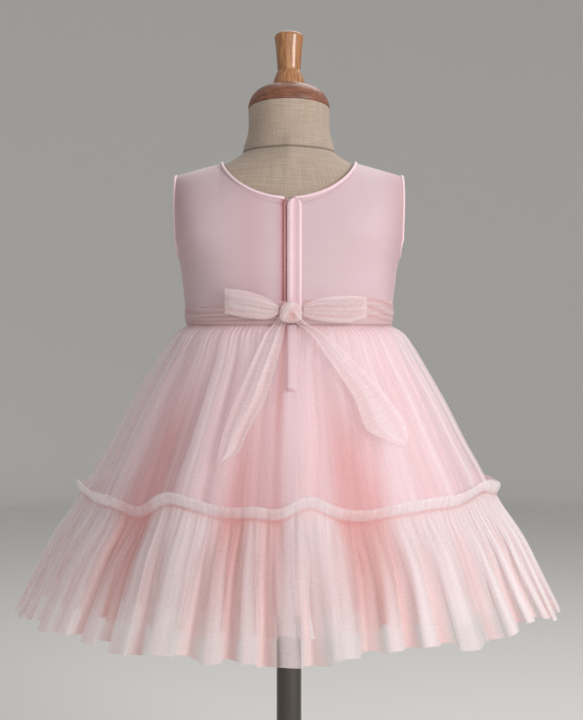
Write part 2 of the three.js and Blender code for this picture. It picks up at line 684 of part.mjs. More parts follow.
// Sash
const sashTop = curveThrough(SASH_TOP, 'angle', 'z');
const SASH_LIFT = WALL.bodice / 2 + 2 * GAP;
const SASH_OUT = SASH_LIFT + WALL.sash + SASH.crown;

function sashBand() {
  const angles = range(0, SASH.columns - 1).map((k) => 360 * (k / SASH.columns) - 180);
  const skin = (height, crown) => [1, 0.5, 0].map((share) => angles.map((degrees) => {
    const z = lerp(SASH.bottomZ, sashTop(degrees), share);
    const { point, normal } = planPoint(bodiceSection(z), bodicePower(z), degToRad(degrees));
    const out = height + crown * Math.sin(Math.PI * share);
    return point.addScaledVector(normal, out).setZ(z);
  }));
  return wallBetween(skin(SASH_LIFT + WALL.sash, SASH.crown), skin(SASH_LIFT, 0), true);
}

function knot() {
  const y = -(bodyDepth(0, KNOT.z) + SASH_OUT + GAP + KNOT.halfDepth);
  const rings = range(0, KNOT.rings - 1).map((i) => {
    const latitude = Math.PI * ((i + 0.5) / KNOT.rings) - QUARTER;
    const level = signedPower(Math.cos(latitude), 2 / KNOT.power);
    const z = KNOT.z - KNOT.halfHeight * signedPower(Math.sin(latitude), 2 / KNOT.power);
    return range(0, KNOT.columns - 1).map((j) => {
      const half = { halfWidth: KNOT.halfWidth * level, halfDepth: KNOT.halfDepth * level };
      const { point } = planPoint(half, KNOT.power, TURN * (j / KNOT.columns));
      return point.add(new THREE.Vector3(KNOT.x, y, z));
    });
  });
  return ringSolid(rings);
}

// Bow loop: one layer out from the knot, a fold, and the other layer back, the outer one crowned
function bowLoop(stations) {
  const out = SASH_OUT + LOOP.clearance;
  const layer = (front) => stations.map(({ x, low, high }) => ({
    x,
    y: -bodyDepth(Math.abs(x), KNOT.z, -out) - (front ? LOOP.spread : 0),
    low,
    high,
    crown: front ? LOOP.crown : 0,
  }));
  const end = stations[stations.length - 1];
  const side = Math.sign(end.x);
  const fold = {
    ...layer(false)[stations.length - 1],
    x: end.x + side * (LOOP.spread / 2),
    y: -bodyDepth(Math.abs(end.x), KNOT.z, -out) - LOOP.spread / 2,
  };
  const path = [...layer(false), fold, ...layer(true).reverse()];
  const columns = side < 0 ? path : path.reverse();
  const grid = range(0, LOOP.rows - 1).map((i) => columns.map(({ x, y, low, high, crown }) => {
    const share = i / (LOOP.rows - 1);
    return new THREE.Vector3(x, y - crown * Math.sin(Math.PI * share), lerp(high, low, share));
  }));
  return wallAbout(grid, WALL.ribbon);
}

// Dress form and stand
const formSection = halfSections(FORM_SECTIONS);
const neckSection = halfSections(NECK_SECTIONS);

// Distance from the axis to the edge of a superellipse in a direction
function reach({ halfWidth, halfDepth }, power, angle) {
  const across = Math.abs(Math.sin(angle)) / halfWidth;
  const back = Math.abs(Math.cos(angle)) / halfDepth;
  return (across ** power + back ** power) ** (-1 / power);
}

// Distance from the axis to the form's shoulders and chest, found by halving the interval
function chestReach(z, angle) {
  const inset = lerp(FORM.waistInset, FORM.chestInset, smoothstep(z, WAIST_Z, UNDERARM_Z));
  let inside = 0;
  let outside = ARCH.halfWidth * 2;
  while (outside - inside > 0.01) {
    const radius = (inside + outside) / 2;
    const depth = bodyDepth(radius * Math.abs(Math.sin(angle)), z, inset, FORM.ridgeInset);
    if (radius * Math.abs(Math.cos(angle)) < depth) inside = radius;
    else outside = radius;
  }
  return inside;
}

function formReach(z, angle) {
  if (z <= WAIST_Z) return reach(formSection(z), BODICE_SECTIONS[0].power, angle);
  const plate = FORM.plate / Math.max(Math.abs(Math.sin(angle)), 0.1);
  const chest = Math.max(chestReach(z, angle), 1);
  const body = (chest ** -FORM.plateBlend + plate ** -FORM.plateBlend) ** (-1 / FORM.plateBlend);
  const neck = reach(neckSection(z), 2, angle);
  return (body ** FORM.neckBlend + neck ** FORM.neckBlend) ** (1 / FORM.neckBlend);
}

// Columns crowd towards the shoulders, where the form is narrow from front to back
function dressForm() {
  const angles = range(0, FORM_COLUMNS.count - 1).map((j) => {
    const even = TURN * (j / FORM_COLUMNS.count);
    return Math.atan2(Math.sin(even), FORM_COLUMNS.crowding * Math.cos(even));
  });
  return ringSolid([...FORM_ROWS_Z].reverse().map((z) => angles.map((angle) => {
    const radius = formReach(z, angle);
    const y = -radius * Math.cos(angle);
    const tilt = Math.tan(NECK_TILT.angle) * smoothstep(z, NECK_TILT.fromZ, NECK_TILT.fullZ);
    return new THREE.Vector3(radius * Math.sin(angle), y, z - y * tilt);
  })));
}

// Assembly
const COLOURS = {
  bodice: { color: '#D9BFC5', roughness: 0.62, metalness: 0 },
  tulle: { color: '#EBCDD2', roughness: 0.8, metalness: 0 },
  lining: { color: '#E8B4B6', roughness: 0.5, metalness: 0 },
  sash: { color: '#E6CFCB', roughness: 0.75, metalness: 0 },
  binding: { color: '#F3D2D4', roughness: 0.5, metalness: 0 },
  linen: { color: '#A89B8C', roughness: 0.9, metalness: 0 },
  dark_wood: { color: '#9A5F43', roughness: 0.4, metalness: 0 },
  light_wood: { color: '#B97F50', roughness: 0.35, metalness: 0 },
  chrome: { color: '#C8CCCC', roughness: 0.15, metalness: 1 },
};

const materials = Object.fromEntries(Object.entries(COLOURS).map(([name, finish]) => (
  [name, new THREE.MeshStandardMaterial({ name, ...finish })]
)));

const dress = new THREE.Group();
const stand = new THREE.Group();

function piece(group, name, geometry, finish) {
  const mesh = new THREE.Mesh(geometry, materials[finish]);
  mesh.name = name;
  group.add(mesh);
  return mesh;
}

for (const [name, panel] of Object.entries(PANELS)) {
  piece(dress, `bodice_${name}`, bodicePanel(panel), 'bodice');
}
piece(dress, 'neck_binding', neckBinding(), 'binding');
piece(dress, 'armhole_binding_right', armholeBinding(1), 'binding');
piece(dress, 'armhole_binding_left', armholeBinding(-1), 'binding');
piece(dress, 'zip_lap', zipLap(), 'binding');
piece(dress, 'skirt_placket', placket(), 'binding');

// Quarter marks 0 and 4 are the centre back, 1 and 3 the side seams, 2 the centre front
const BACK_AND_FRONT = { back_right: [0, 1], front: [1, 3], back_left: [3, 4] };
const HALVES = { back: [-1, 1], front: [1, 3] };
const STRIPS = { back_right: [0, 1], front_right: [1, 2], front_left: [2, 3], back_left: [3, 4] };
const SKIRTS = [
  { name: 'upper_skirt', layer: UPPER, pieces: BACK_AND_FRONT, finish: 'tulle' },
  { name: 'flounce', layer: FLOUNCE, pieces: STRIPS, finish: 'tulle' },
  { name: 'net_underskirt', layer: NET, pieces: HALVES, finish: 'tulle' },
  { name: 'skirt_lining', layer: LINING, pieces: BACK_AND_FRONT, finish: 'lining' },
];
for (const { name, layer, pieces, finish } of SKIRTS) {
  for (const [place, [from, to]] of Object.entries(pieces)) {
    piece(dress, `${name}_${place}`, gatheredPanel(layer, from, to), finish);
  }
}

piece(dress, 'sash_band', sashBand(), 'sash');
piece(dress, 'bow_knot', knot(), 'sash');
piece(dress, 'bow_loop_left', bowLoop(LOOP_LEFT), 'sash');
piece(dress, 'bow_loop_right', bowLoop(LOOP_RIGHT), 'sash');
piece(dress, 'bow_tail_left', tail(TAIL_LEFT), 'sash');
piece(dress, 'bow_tail_right', tail(TAIL_RIGHT), 'sash');

const baseTop = BASE_PROFILE[BASE_PROFILE.length - 1].z;
const formFoot = FORM_ROWS_Z[0];
const poleLength = formFoot - baseTop - 2 * GAP;
piece(stand, 'base', turned(BASE_PROFILE, SEGMENTS.base), 'chrome');
const pole = new THREE.CylinderGeometry(POLE_RADIUS, POLE_RADIUS, poleLength, SEGMENTS.pole);
piece(stand, 'pole', pole.rotateX(QUARTER), 'chrome').position.z = baseTop + GAP + poleLength / 2;
piece(stand, 'form_torso', dressForm(), 'linen');

// The neck cap and finial follow the tilted top of the neck
const head = new THREE.Group();
head.position.z = FORM_ROWS_Z[FORM_ROWS_Z.length - 1];
head.rotation.x = -NECK_TILT.angle;
piece(head, 'neck_cap', turned(CAP_PROFILE, SEGMENTS.cap), 'dark_wood').position.z = GAP;
const capTop = CAP_PROFILE[CAP_PROFILE.length - 1].z;
piece(head, 'finial', turned(FINIAL_PROFILE, SEGMENTS.finial), 'light_wood').position.z = capTop + 2 * GAP;
stand.add(head);

const part = new THREE.Group();
part.add(dress, stand);

export default part;
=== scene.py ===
"""Toddler party dress on a limbless dress form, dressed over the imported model.

Sizes are in millimetres until they enter a mesh. The back of the dress faces -Y. A share round
the dress runs from 0 at the centre back through 0.25 at the +X side to 1.
"""

import logging
import math
from dataclasses import dataclass, field
from enum import Enum
from typing import Callable, Mapping, Sequence

import bpy
import numpy as np
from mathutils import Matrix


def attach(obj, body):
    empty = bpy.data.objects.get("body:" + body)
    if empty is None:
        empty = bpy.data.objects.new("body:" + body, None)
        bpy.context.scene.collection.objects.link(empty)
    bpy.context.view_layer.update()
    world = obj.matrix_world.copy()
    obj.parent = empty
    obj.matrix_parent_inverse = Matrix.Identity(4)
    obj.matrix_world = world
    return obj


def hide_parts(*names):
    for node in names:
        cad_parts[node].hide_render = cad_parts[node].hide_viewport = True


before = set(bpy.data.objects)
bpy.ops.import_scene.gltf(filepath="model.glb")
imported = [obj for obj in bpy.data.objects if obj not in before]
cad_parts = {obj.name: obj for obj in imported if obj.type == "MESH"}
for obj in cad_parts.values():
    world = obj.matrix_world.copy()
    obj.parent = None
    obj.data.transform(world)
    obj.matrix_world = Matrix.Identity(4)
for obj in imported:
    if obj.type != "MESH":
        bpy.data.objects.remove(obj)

Array = np.ndarray
Curve = Callable[[Array], Array]
Grid = tuple[Array, list[Array]]

Material = bpy.types.Material
Tree = bpy.types.NodeTree
Node = bpy.types.Node
Socket = bpy.types.NodeSocket

LOG = logging.getLogger("party_dress")
MM = 0.001
TURN = 2 * math.pi
QUARTER = math.pi / 2
# Radians that the wave texture turns in a metre at a scale of 1
WAVE_TEXTURE_TURN = 20


class Weave(Enum):
    """How a cloth was made, which settles its pattern."""

    PLAIN = "plain"
    SATIN = "satin"


class Side(Enum):
    """Side of the dress as its back is looked at, with the sign of its X."""

    LEFT = -1
    RIGHT = 1


# Shared arithmetic


def lerp(low: Array | float, high: Array | float, share: Array | float) -> Array:
    """Value a share of the way from low to high: low plus share times the difference."""
    return low + (high - low) * share


def ease(share: Array) -> Array:
    """Share from 0 to 1 with level ends: three times its square less twice its cube."""
    held = np.clip(share, 0.0, 1.0)
    return held * held * (3 - 2 * held)


def smoothstep(value: Array | float, low: float, high: float) -> Array:
    """Rise from 0 to 1 with level ends as the value goes from low to high."""
    return ease((np.asarray(value, float) - low) / (high - low))


def signed_power(value: Array, power: Array | float) -> Array:
    """Size of the value to a power, with the value's own sign."""
    return np.sign(value) * np.abs(value) ** power


def bell(value: Array, centre: Array | float, width: float) -> Array:
    """Bell curve: 1 at its centre, and 1 over e at its width from there."""
    return np.exp(-(((value - centre) / width) ** 2))


def curve_through(knots: Sequence[float], values: Sequence[float]) -> Curve:
    """Smooth curve through values at rising knots.

    In each interval the curve is the cubic whose slope at each end is that of the line between
    the two neighbouring knots, and it has no curvature at the first and last knot.

    Args:
        knots: rising positions.
        values: value at each knot.

    Returns:
        Function that evaluates the curve, held at its ends.
    """
    at_knot = np.asarray(knots, float)
    worth = np.asarray(values, float)
    last = len(at_knot) - 1

    def evaluate(at: Array) -> Array:
        """Value of the curve at each position."""
        place = np.clip(np.asarray(at, float), at_knot[0], at_knot[-1])
        i = np.clip(np.searchsorted(at_knot, place, side="right") - 1, 0, last - 1)
        after = np.minimum(i + 2, last)
        start, stop = at_knot[i], at_knot[i + 1]
        before_knot = np.where(i == 0, stop, at_knot[i - 1])
        before = np.where(i == 0, worth[i + 1], worth[i - 1])
        after_knot = np.where(i == last - 1, start, at_knot[after])
        beyond = np.where(i == last - 1, worth[i], worth[after])
        half = 0.5 * (stop - start)
        early = half / (start - before_knot)
        late = half / (after_knot - stop)
        p = (place - start) / (stop - start)
        return (
            before * (-early * p**3 + 2 * early * p**2 - early * p)
            + worth[i] * ((1 + early) * p**3 + (-1.5 - 2 * early) * p**2 + (early - 0.5) * p + 1)
            + worth[i + 1] * ((-1 - late) * p**3 + (1.5 + late) * p**2 + 0.5 * p)
            + beyond * (late * p**3 - late * p**2)
        )

    return evaluate


def column_curves(knots: Sequence[float], rows: Sequence[object], *names: str) -> list[Curve]:
    """Smooth curves through named columns of a table.

    Args:
        knots: rising position of each row.
        rows: the table.
        names: the columns.

    Returns:
        One curve for each name.
    """
    return [curve_through(knots, [getattr(row, name) for row in rows]) for name in names]


def smooth_noise(across: Array, down: Array, cells: tuple[int, int], seed: int) -> Array:
    """Even, repeatable unevenness from -1 to 1.

    Seeded values stand on a lattice that wraps across, and are eased from one lattice point to
    the next in both directions.

    Args:
        across: share across, which may pass 1 and wraps.
        down: share down, from 0 to 1.
        cells: number of lattice cells across and down.
        seed: picks the lattice's values.

    Returns:
        Value at each place.
    """
    lattice = np.random.default_rng(seed).uniform(-1, 1, (cells[0], cells[1] + 1))
    x = np.asarray(across, float) * cells[0]
    y = np.clip(np.asarray(down, float), 0, 1) * cells[1]
    i = np.floor(x).astype(int)
    j = np.minimum(np.floor(y).astype(int), cells[1] - 1)
    s, t = ease(x - i), ease(y - j)
    near = lerp(lattice[i % cells[0], j], lattice[(i + 1) % cells[0], j], s)
    far = lerp(lattice[i % cells[0], j + 1], lattice[(i + 1) % cells[0], j + 1], s)
    return lerp(near, far, t)


def unit(vectors: Array) -> Array:
    """Vectors along the last axis at length 1."""
    return vectors / np.maximum(np.linalg.norm(vectors, axis=-1, keepdims=True), 1e-9)


def gradient(points: Array, axis: int, ring: bool = False) -> Array:
    """Step from the point before to the point after, along one axis of a grid.

    Args:
        points: grid of points.
        axis: axis of the grid to step along.
        ring: True where that axis closes on itself.

    Returns:
        Step at each point, taken from one side at an open end.
    """
    if ring:
        return np.roll(points, -1, axis) - np.roll(points, 1, axis)
    return np.gradient(points, axis=axis)


def outward(points: Array, ring: bool = False) -> Array:
    """Outward unit direction of a grid: the cross product of the step down and the step along."""
    return unit(np.cross(gradient(points, 0), gradient(points, 1, ring)))


def stacked(x: Array, y: Array, z: Array) -> Array:
    """Points from their three coordinates, spread to one common shape."""
    return np.stack(np.broadcast_arrays(x, y, z), axis=-1).astype(float)


def revolved(radius: Array, height: Array, count: int) -> Array:
    """Rings of points round the Z axis, each starting at the back.

    Args:
        radius: radius of each ring, one below the other.
        height: height of each ring.
        count: points in a ring.

    Returns:
        Grid of points.
    """
    angle = (TURN * np.arange(count) / count)[None, :]
    return stacked(radius * np.sin(angle), -radius * np.cos(angle), height)


def strip_directions(line: Array) -> tuple[Array, Array]:
    """Directions of a strip that runs down the back: to the right, and away from the body."""
    across = np.tile([1.0, 0.0, 0.0], (len(line), 1))
    return across, unit(np.cross(gradient(line, 0), across))


# Meshes


def grid_faces(rows: int, columns: int, ring: bool = False, first: int = 0) -> Array:
    """Four-sided faces of a grid, facing outwards.

    Args:
        rows: rows of points, running down.
        columns: columns of points, running with the angle.
        ring: True where the last column joins the first.
        first: number of the grid's first point.

    Returns:
        One row of four point numbers for each face.
    """
    i, j = np.meshgrid(np.arange(rows - 1), np.arange(columns if ring else columns - 1), indexing="ij")
    after = (j + 1) % columns
    corners = (i * columns + j, (i + 1) * columns + j, (i + 1) * columns + after, i * columns + after)
    return first + np.stack(corners, axis=-1).reshape(-1, 4)


def sheet_grid(points: Array, ring: bool = False) -> Grid:
    """Open surface over a grid of points, whose columns close on themselves where it is a ring."""
    rows, columns = points.shape[:2]
    return points.reshape(-1, 3), [grid_faces(rows, columns, ring)]


def closed_rings(rings: Array) -> Grid:
    """Closed body over rings that run from its top to its foot, with a pole at each end.

    Args:
        rings: one row of points for each ring.

    Returns:
        The points in one list, and the faces.
    """
    rows, columns = rings.shape[:2]
    top = rows * columns
    j = np.arange(columns)
    after = (j + 1) % columns
    last = (rows - 1) * columns
    head = np.stack([np.full(columns, top), j, after], axis=-1)
    foot = np.stack([np.full(columns, top + 1), last + after, last + j], axis=-1)
    poles = np.stack([rings[0].mean(axis=0), rings[-1].mean(axis=0)])
    return np.concatenate([rings.reshape(-1, 3), poles]), [grid_faces(rows, columns, True), head, foot]


def carried(path: Array, side: Array, out: Array, profile: Array, ring: bool = False) -> Grid:
    """Closed profile carried along a path.

    Each point is the path's point plus the profile's first coordinate along the side direction
    and its second along the outward direction.

    Args:
        path: points of the path.
        side: unit direction across the path at each point.
        out: unit direction away from the cloth at each point.
        profile: profile points, either one list for all or one for each point of the path.
        ring: True where the path closes on itself.

    Returns:
        The points in one list, and the faces.
    """
    outline = np.broadcast_to(profile, (len(path), *profile.shape[-2:]))
    rings = path[:, None] + outline[..., :1] * side[:, None] + outline[..., 1:] * out[:, None]
    if not ring:
        return closed_rings(rings)
    looped = np.concatenate([rings, rings[:1]])
    points, faces = sheet_grid(looped, True)
    count = rings.shape[0] * rings.shape[1]
    return points[:count], [np.where(faces[0] >= count, faces[0] - count, faces[0])]


def flat_uv(grid: Grid) -> Array:
    """Place on the cloth of a small piece that faces the back: its X and Z in metres."""
    return grid[0][:, [0, 2]] * MM


def rounded_strip(half_width: float, half_height: float, points: int, power: float = 4.0) -> Array:
    """Profile of a flat strip with rounded edges, a superellipse.

    Args:
        half_width: half its width.
        half_height: half its thickness.
        points: number of points round it.
        power: exponent of the superellipse.

    Returns:
        One row for each point: place across and place outwards.
    """
    angle = -TURN * np.arange(points) / points
    across = half_width * signed_power(np.cos(angle), 2 / power)
    return np.stack([across, half_height * signed_power(np.sin(angle), 2 / power)], axis=-1)


@dataclass
class Piece:
    """One piece of the scene on its way into Blender.

    Attributes:
        name: the piece's name.
        grid: points in millimetres, and faces.
        material: its material.
        slot: the record's material slot for its finish, kept but not used.
        nodes: CAD nodes it stands for.
        uv: place on the cloth in metres for each point.
        values: named value for each point.
        wrap: length of a closed ring along each coordinate of uv, nil along one that is open.
    """

    name: str
    grid: Grid
    material: Material
    slot: str
    nodes: tuple[str, ...] = ()
    uv: Array | None = None
    values: Mapping[str, Array] = field(default_factory=dict)
    wrap: tuple[float, float] = (0.0, 0.0)

    def corner_uv(self) -> Array:
        """Place on the cloth at each face corner, carried on across the end of a closed ring.

        Returns:
            One row for each corner of each face.
        """
        flat = self.uv.reshape(-1, 2)
        corners = []
        for group in self.grid[1]:
            corner = flat[group]
            half = np.array(self.wrap) / 2
            closing = np.ptp(corner, axis=1, keepdims=True) > half
            corners.append((corner + 2 * half * (closing & (corner < half))).reshape(-1, 2))
        return np.concatenate(corners)

    def area(self) -> float:
        """Area of all faces, each counted as one or two triangles.

        Returns:
            Square millimetres.
        """
        points, faces = self.grid
        total = 0.0
        for group in faces:
            first, second, third = (points[group[:, k]] for k in range(3))
            doubled = np.linalg.norm(np.cross(second - first, third - first), axis=1).sum()
            total += doubled * (group.shape[1] - 2) / 2
        return total

    def place(self) -> bpy.types.Object:
        """Makes the mesh object at the origin and ties it to the frame.

        Returns:
            The new object.
        """
        points, faces = self.grid
        mesh = bpy.data.meshes.new(self.name)
        corners = np.concatenate([group.ravel() for group in faces]).astype(np.int32)
        sizes = np.concatenate([np.full(len(group), group.shape[1]) for group in faces])
        starts = np.concatenate([[0], np.cumsum(sizes)[:-1]]).astype(np.int32)
        mesh.vertices.add(len(points))
        mesh.vertices.foreach_set("co", (points * MM).astype(np.float32).ravel())
        mesh.loops.add(len(corners))
        mesh.loops.foreach_set("vertex_index", corners)
        mesh.polygons.add(len(starts))
        mesh.polygons.foreach_set("loop_start", starts)
        mesh.polygons.foreach_set("use_smooth", np.ones(len(starts), bool))
        mesh.update(calc_edges=True)
        if self.uv is not None:
            layer = mesh.uv_layers.new(name="cloth")
            layer.data.foreach_set("uv", self.corner_uv().astype(np.float32).ravel())
        for name, value in self.values.items():
            attribute = mesh.attributes.new(name, "FLOAT", "POINT")
            attribute.data.foreach_set("value", value.astype(np.float32).ravel())
        mesh.materials.append(self.material)
        thing = bpy.data.objects.new(self.name, mesh)
        bpy.context.scene.collection.objects.link(thing)
        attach(thing, "root")
        if self.nodes:
            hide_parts(*self.nodes)
        LOG.info("%s: %d points, %.4f square metres", self.name, len(points), self.area() * MM * MM)
        return thing


def thickened(thing: bpy.types.Object, thickness: float) -> None:
    """Gives an open sheet its wall, half of it on each side.

    Args:
        thing: the sheet.
        thickness: wall in millimetres.
    """
    wall = thing.modifiers.new("wall", "SOLIDIFY")
    wall.thickness = thickness * MM
    wall.offset = 0.0


# Materials


def linear(colour: str) -> tuple[float, float, float, float]:
    """Linear colour of an sRGB hex value.

    Args:
        colour: six hex digits after a hash.

    Returns:
        Red, green, blue and full alpha.
    """
    channels = [int(colour[k : k + 2], 16) / 255 for k in (1, 3, 5)]
    red, green, blue = (c / 12.92 if c <= 0.04045 else ((c + 0.055) / 1.055) ** 2.4 for c in channels)
    return red, green, blue, 1.0


def add_node(
    tree: Tree,
    kind: str,
    inputs: Mapping[str | int, object] | None = None,
    **settings: object,
) -> Node:
    """Adds a shader node with its settings and links.

    Args:
        tree: the material's node tree.
        kind: type of the node, without the word ShaderNode.
        inputs: input to a value, to an output socket, or to a node whose first output feeds it.
        settings: the node's own properties.

    Returns:
        The new node.
    """
    node = tree.nodes.new(f"ShaderNode{kind}")
    for name, value in settings.items():
        setattr(node, name, value)
    for key, value in (inputs or {}).items():
        source = value.outputs[0] if isinstance(value, Node) else value
        if isinstance(source, Socket):
            tree.links.new(source, node.inputs[key])
        else:
            node.inputs[key].default_value = source
    return node


def drawn_out_noise(
    tree: Tree,
    place: Node | Socket,
    scale: tuple[float, float, float],
    detail: float,
    roughness: float = 0.5,
) -> Node:
    """Noise drawn out one way, which looks like crinkles, slubs, grain or polishing marks.

    Args:
        tree: the material's node tree.
        place: where each point lies.
        scale: how fine the noise is along each axis, per metre.
        detail: how many finer layers it has.
        roughness: how strong those are.

    Returns:
        The noise.
    """
    drawn = add_node(tree, "Mapping", {"Vector": place, "Scale": scale})
    inputs = {"Vector": drawn, "Scale": 1.0, "Detail": detail, "Roughness": roughness}
    return add_node(tree, "TexNoise", inputs)


def woven(tree: Tree, cloth: Node, thread_mm: float, waver: float, detail: float) -> list[Socket]:
    """Waves that look like the threads of a woven cloth, one set for each way.

    Args:
        tree: the material's node tree.
        cloth: place on the cloth.
        thread_mm: distance between threads.
        waver: how much the threads waver.
        detail: how fine that is.

    Returns:
        Height of the threads across and of those down.
    """
    scale = TURN / WAVE_TEXTURE_TURN / (thread_mm * MM)
    inputs = {"Vector": cloth, "Scale": scale, "Distortion": waver, "Detail": detail}
    return [add_node(tree, "TexWave", inputs, bands_direction=way).outputs["Fac"] for way in "XY"]


def two_toned(tree: Tree, value: Node, dark: tuple[float, str], light: tuple[float, str]) -> Node:
    """Colour that runs from a dark tone to a light one, so that a surface isn't one flat colour.

    Args:
        tree: the material's node tree.
        value: what picks the tone.
        dark: value up to which it is the dark tone, and that tone's sRGB hex colour.
        light: value from which it is the light tone, and that tone's sRGB hex colour.

    Returns:
        The colour ramp.
    """
    ramp = add_node(tree, "ValToRGB", {"Fac": value})
    for element, (place, colour) in zip(ramp.color_ramp.elements, (dark, light)):
        element.position = place
        element.color = linear(colour)
    return ramp


def tinted(tree: Tree, attribute: str, plain: Node | tuple[float, ...], tint: str) -> Socket:
    """Colour that turns to a tint where a value on the mesh is high, as in a fold or a seam.

    Args:
        tree: the material's node tree.
        attribute: name of the value.
        plain: colour where it is nil.
        tint: sRGB hex colour where it is 1.

    Returns:
        The colour's socket.
    """
    amount = add_node(tree, "Attribute", attribute_name=attribute).outputs["Fac"]
    inputs = {0: amount, 6: plain, 7: linear(tint)}
    return add_node(tree, "Mix", inputs, data_type="RGBA").outputs[2]


@dataclass(frozen=True)
class Finish:
    """Look of one real material, made of procedural nodes alone."""

    name: str

    def surface(self, tree: Tree) -> Node:
        """Adds the nodes of the look.

        Args:
            tree: the material's empty node tree.

        Returns:
            The shader that ends them.
        """
        raise NotImplementedError

    def build(self) -> Material:
        """Makes the material.

        Returns:
            The material.
        """
        material = bpy.data.materials.new(self.name)
        material.use_nodes = True
        tree = material.node_tree
        tree.nodes.clear()
        add_node(tree, "OutputMaterial", {"Surface": self.surface(tree)})
        return material


@dataclass(frozen=True)
class Tulle(Finish):
    """Fine polyester net, knitted and cut raw: see-through, and denser where it crowds in folds."""

    pale: str
    # Colour of the painted shade in folds, hollows and along stitched rows
    deep: str
    opacity: float
    crowding: float
    streaks: float = 0.1
    speckle: float = 0.03
    glow: float = 0.35

    def surface(self, tree: Tree) -> Node:
        """Adds threads that pass some light, and open net between them.

        The net's holes are about 1 mm, too fine to show, so the grain is drawn at 2.5 mm.

        Args:
            tree: the material's empty node tree.

        Returns:
            The shader that ends them.
        """
        cloth = add_node(tree, "UVMap", uv_map="cloth")
        # Crinkles run down the cloth, a few millimetres apart and tens of millimetres long
        crinkle = drawn_out_noise(tree, cloth, (260.0, 9.0, 1.0), 3.0)
        # Speckle keeps the net from looking like film
        grain = add_node(tree, "TexNoise", {"Vector": cloth, "Scale": 400.0, "Detail": 1.0})
        # The net looks denser where it crowds, and streaked and speckled by the two patterns
        crowd = add_node(tree, "Attribute", attribute_name="crowding").outputs["Fac"]
        alpha = add_node(
            tree, "Math", {0: crowd, 1: self.crowding, 2: self.opacity}, operation="MULTIPLY_ADD"
        )
        for pattern, swing in ((crinkle, self.streaks), (grain, self.speckle)):
            ends = {"From Min": 0.3, "From Max": 0.7, "To Min": -swing, "To Max": swing}
            uneven = add_node(tree, "MapRange", {"Value": pattern, **ends})
            alpha = add_node(tree, "Math", {0: alpha, 1: uneven}, operation="ADD")
        alpha.use_clamp = True
        # Painted shade turns folds and hollows deeper pink, and stitched rows darken the same way
        colour = tinted(tree, "painted_shade_and_stitching", linear(self.pale), self.deep)
        # The crinkles' low relief catches the light
        bump = add_node(tree, "Bump", {"Height": crinkle, "Strength": 0.12, "Distance": 0.001})
        threads = add_node(
            tree, "BsdfPrincipled",
            {"Base Color": colour, "Roughness": 0.75, "Sheen Weight": 0.25, "Sheen Roughness": 0.5,
             "Specular IOR Level": 0.3, "Normal": bump},
        )
        # Light from behind glows through the threads
        through = add_node(tree, "BsdfTranslucent", {"Color": colour, "Normal": bump})
        lit = add_node(tree, "MixShader", {0: self.glow, 1: threads, 2: through})
        # What lies behind shows through the open net
        open_net = add_node(tree, "BsdfTransparent")
        return add_node(tree, "MixShader", {0: alpha, 1: open_net, 2: lit})


@dataclass(frozen=True)
class SatinCloth(Finish):
    """Polyester satin under a sheer overlay: soft broad highlights and a faint thread."""

    colour: str
    shade: str
    # Colour of the painted shade in grooves, folds and hollows
    hollow: str
    roughness: float
    weave: Weave
    thread_mm: float = 2.0

    def surface(self, tree: Tree) -> Node:
        """Adds a soft sheen over faint threads.

        Real threads are about 0.2 mm apart, too fine to show, so they are drawn coarser.

        Args:
            tree: the material's empty node tree.

        Returns:
            The shader that ends them.
        """
        cloth = add_node(tree, "UVMap", uv_map="cloth")
        # A satin weave hides most of one set of threads
        across, down = woven(tree, cloth, self.thread_mm, 1.5, 2.0)
        shown = 0.5 if self.weave is Weave.PLAIN else 0.15
        threads = add_node(tree, "Math", {0: down, 1: shown, 2: across}, operation="MULTIPLY_ADD")
        # Soft clouds of the darker tone keep the cloth from looking flat
        cloud = add_node(tree, "TexNoise", {"Vector": cloth, "Scale": 14.0, "Detail": 3.0})
        tone = two_toned(tree, cloud, (0.3, self.shade), (0.7, self.colour))
        # Painted shade turns the cloth to the hollow colour in grooves, folds, at the sides and under the
        # band; a stitched facing edge darkens the same way
        colour = tinted(tree, "painted_shade_and_stitching", tone, self.hollow)
        # The threads' faint relief breaks up the highlight
        bump = add_node(tree, "Bump", {"Height": threads, "Strength": 0.12, "Distance": 0.0004})
        return add_node(
            tree, "BsdfPrincipled",
            {"Base Color": colour, "Roughness": self.roughness, "Sheen Weight": 0.3,
             "Sheen Roughness": 0.4, "Specular IOR Level": 0.25, "Normal": bump},
        )


@dataclass(frozen=True)
class Linen(Finish):
    """Unbleached linen, plain woven: matte, with thick slubs both ways."""

    name: str = "unbleached_linen"
    light: str = "#B5A393"
    dark: str = "#A08E7E"
    seam: str = "#5E5348"
    thread_mm: float = 2.0

    def surface(self, tree: Tree) -> Node:
        """Adds matte threads with slubs, and a dark line along the seam.

        Real threads are about 0.6 mm apart, too fine to show, so they are drawn at 2 mm.

        Args:
            tree: the material's empty node tree.

        Returns:
            The shader that ends them.
        """
        cloth = add_node(tree, "UVMap", uv_map="cloth")
        warp, weft = woven(tree, cloth, self.thread_mm, 2.0, 1.0)
        threads = add_node(tree, "Math", {0: warp, 1: weft}, operation="ADD")
        # Slubs are short thick places in the threads, paler than the rest
        first, second = (
            drawn_out_noise(tree, cloth, scale, 2.0) for scale in ((30.0, 520.0, 1.0), (520.0, 30.0, 1.0))
        )
        slubs = add_node(tree, "Math", {0: first, 1: second}, operation="ADD")
        height = add_node(tree, "Math", {0: threads, 1: 0.35, 2: slubs}, operation="MULTIPLY_ADD")
        spread = add_node(tree, "MapRange", {"Value": height, "From Min": 0.85, "From Max": 1.85})
        tone = two_toned(tree, spread, (0.15, self.dark), (0.85, self.light))
        colour = tinted(tree, "seam", tone, self.seam)
        # Relief makes the cloth look rough from nearby
        bump = add_node(tree, "Bump", {"Height": height, "Strength": 0.3, "Distance": 0.0006})
        return add_node(
            tree, "BsdfPrincipled",
            {"Base Color": colour, "Roughness": 0.9, "Sheen Weight": 0.15, "Specular IOR Level": 0.2,
             "Normal": bump},
        )


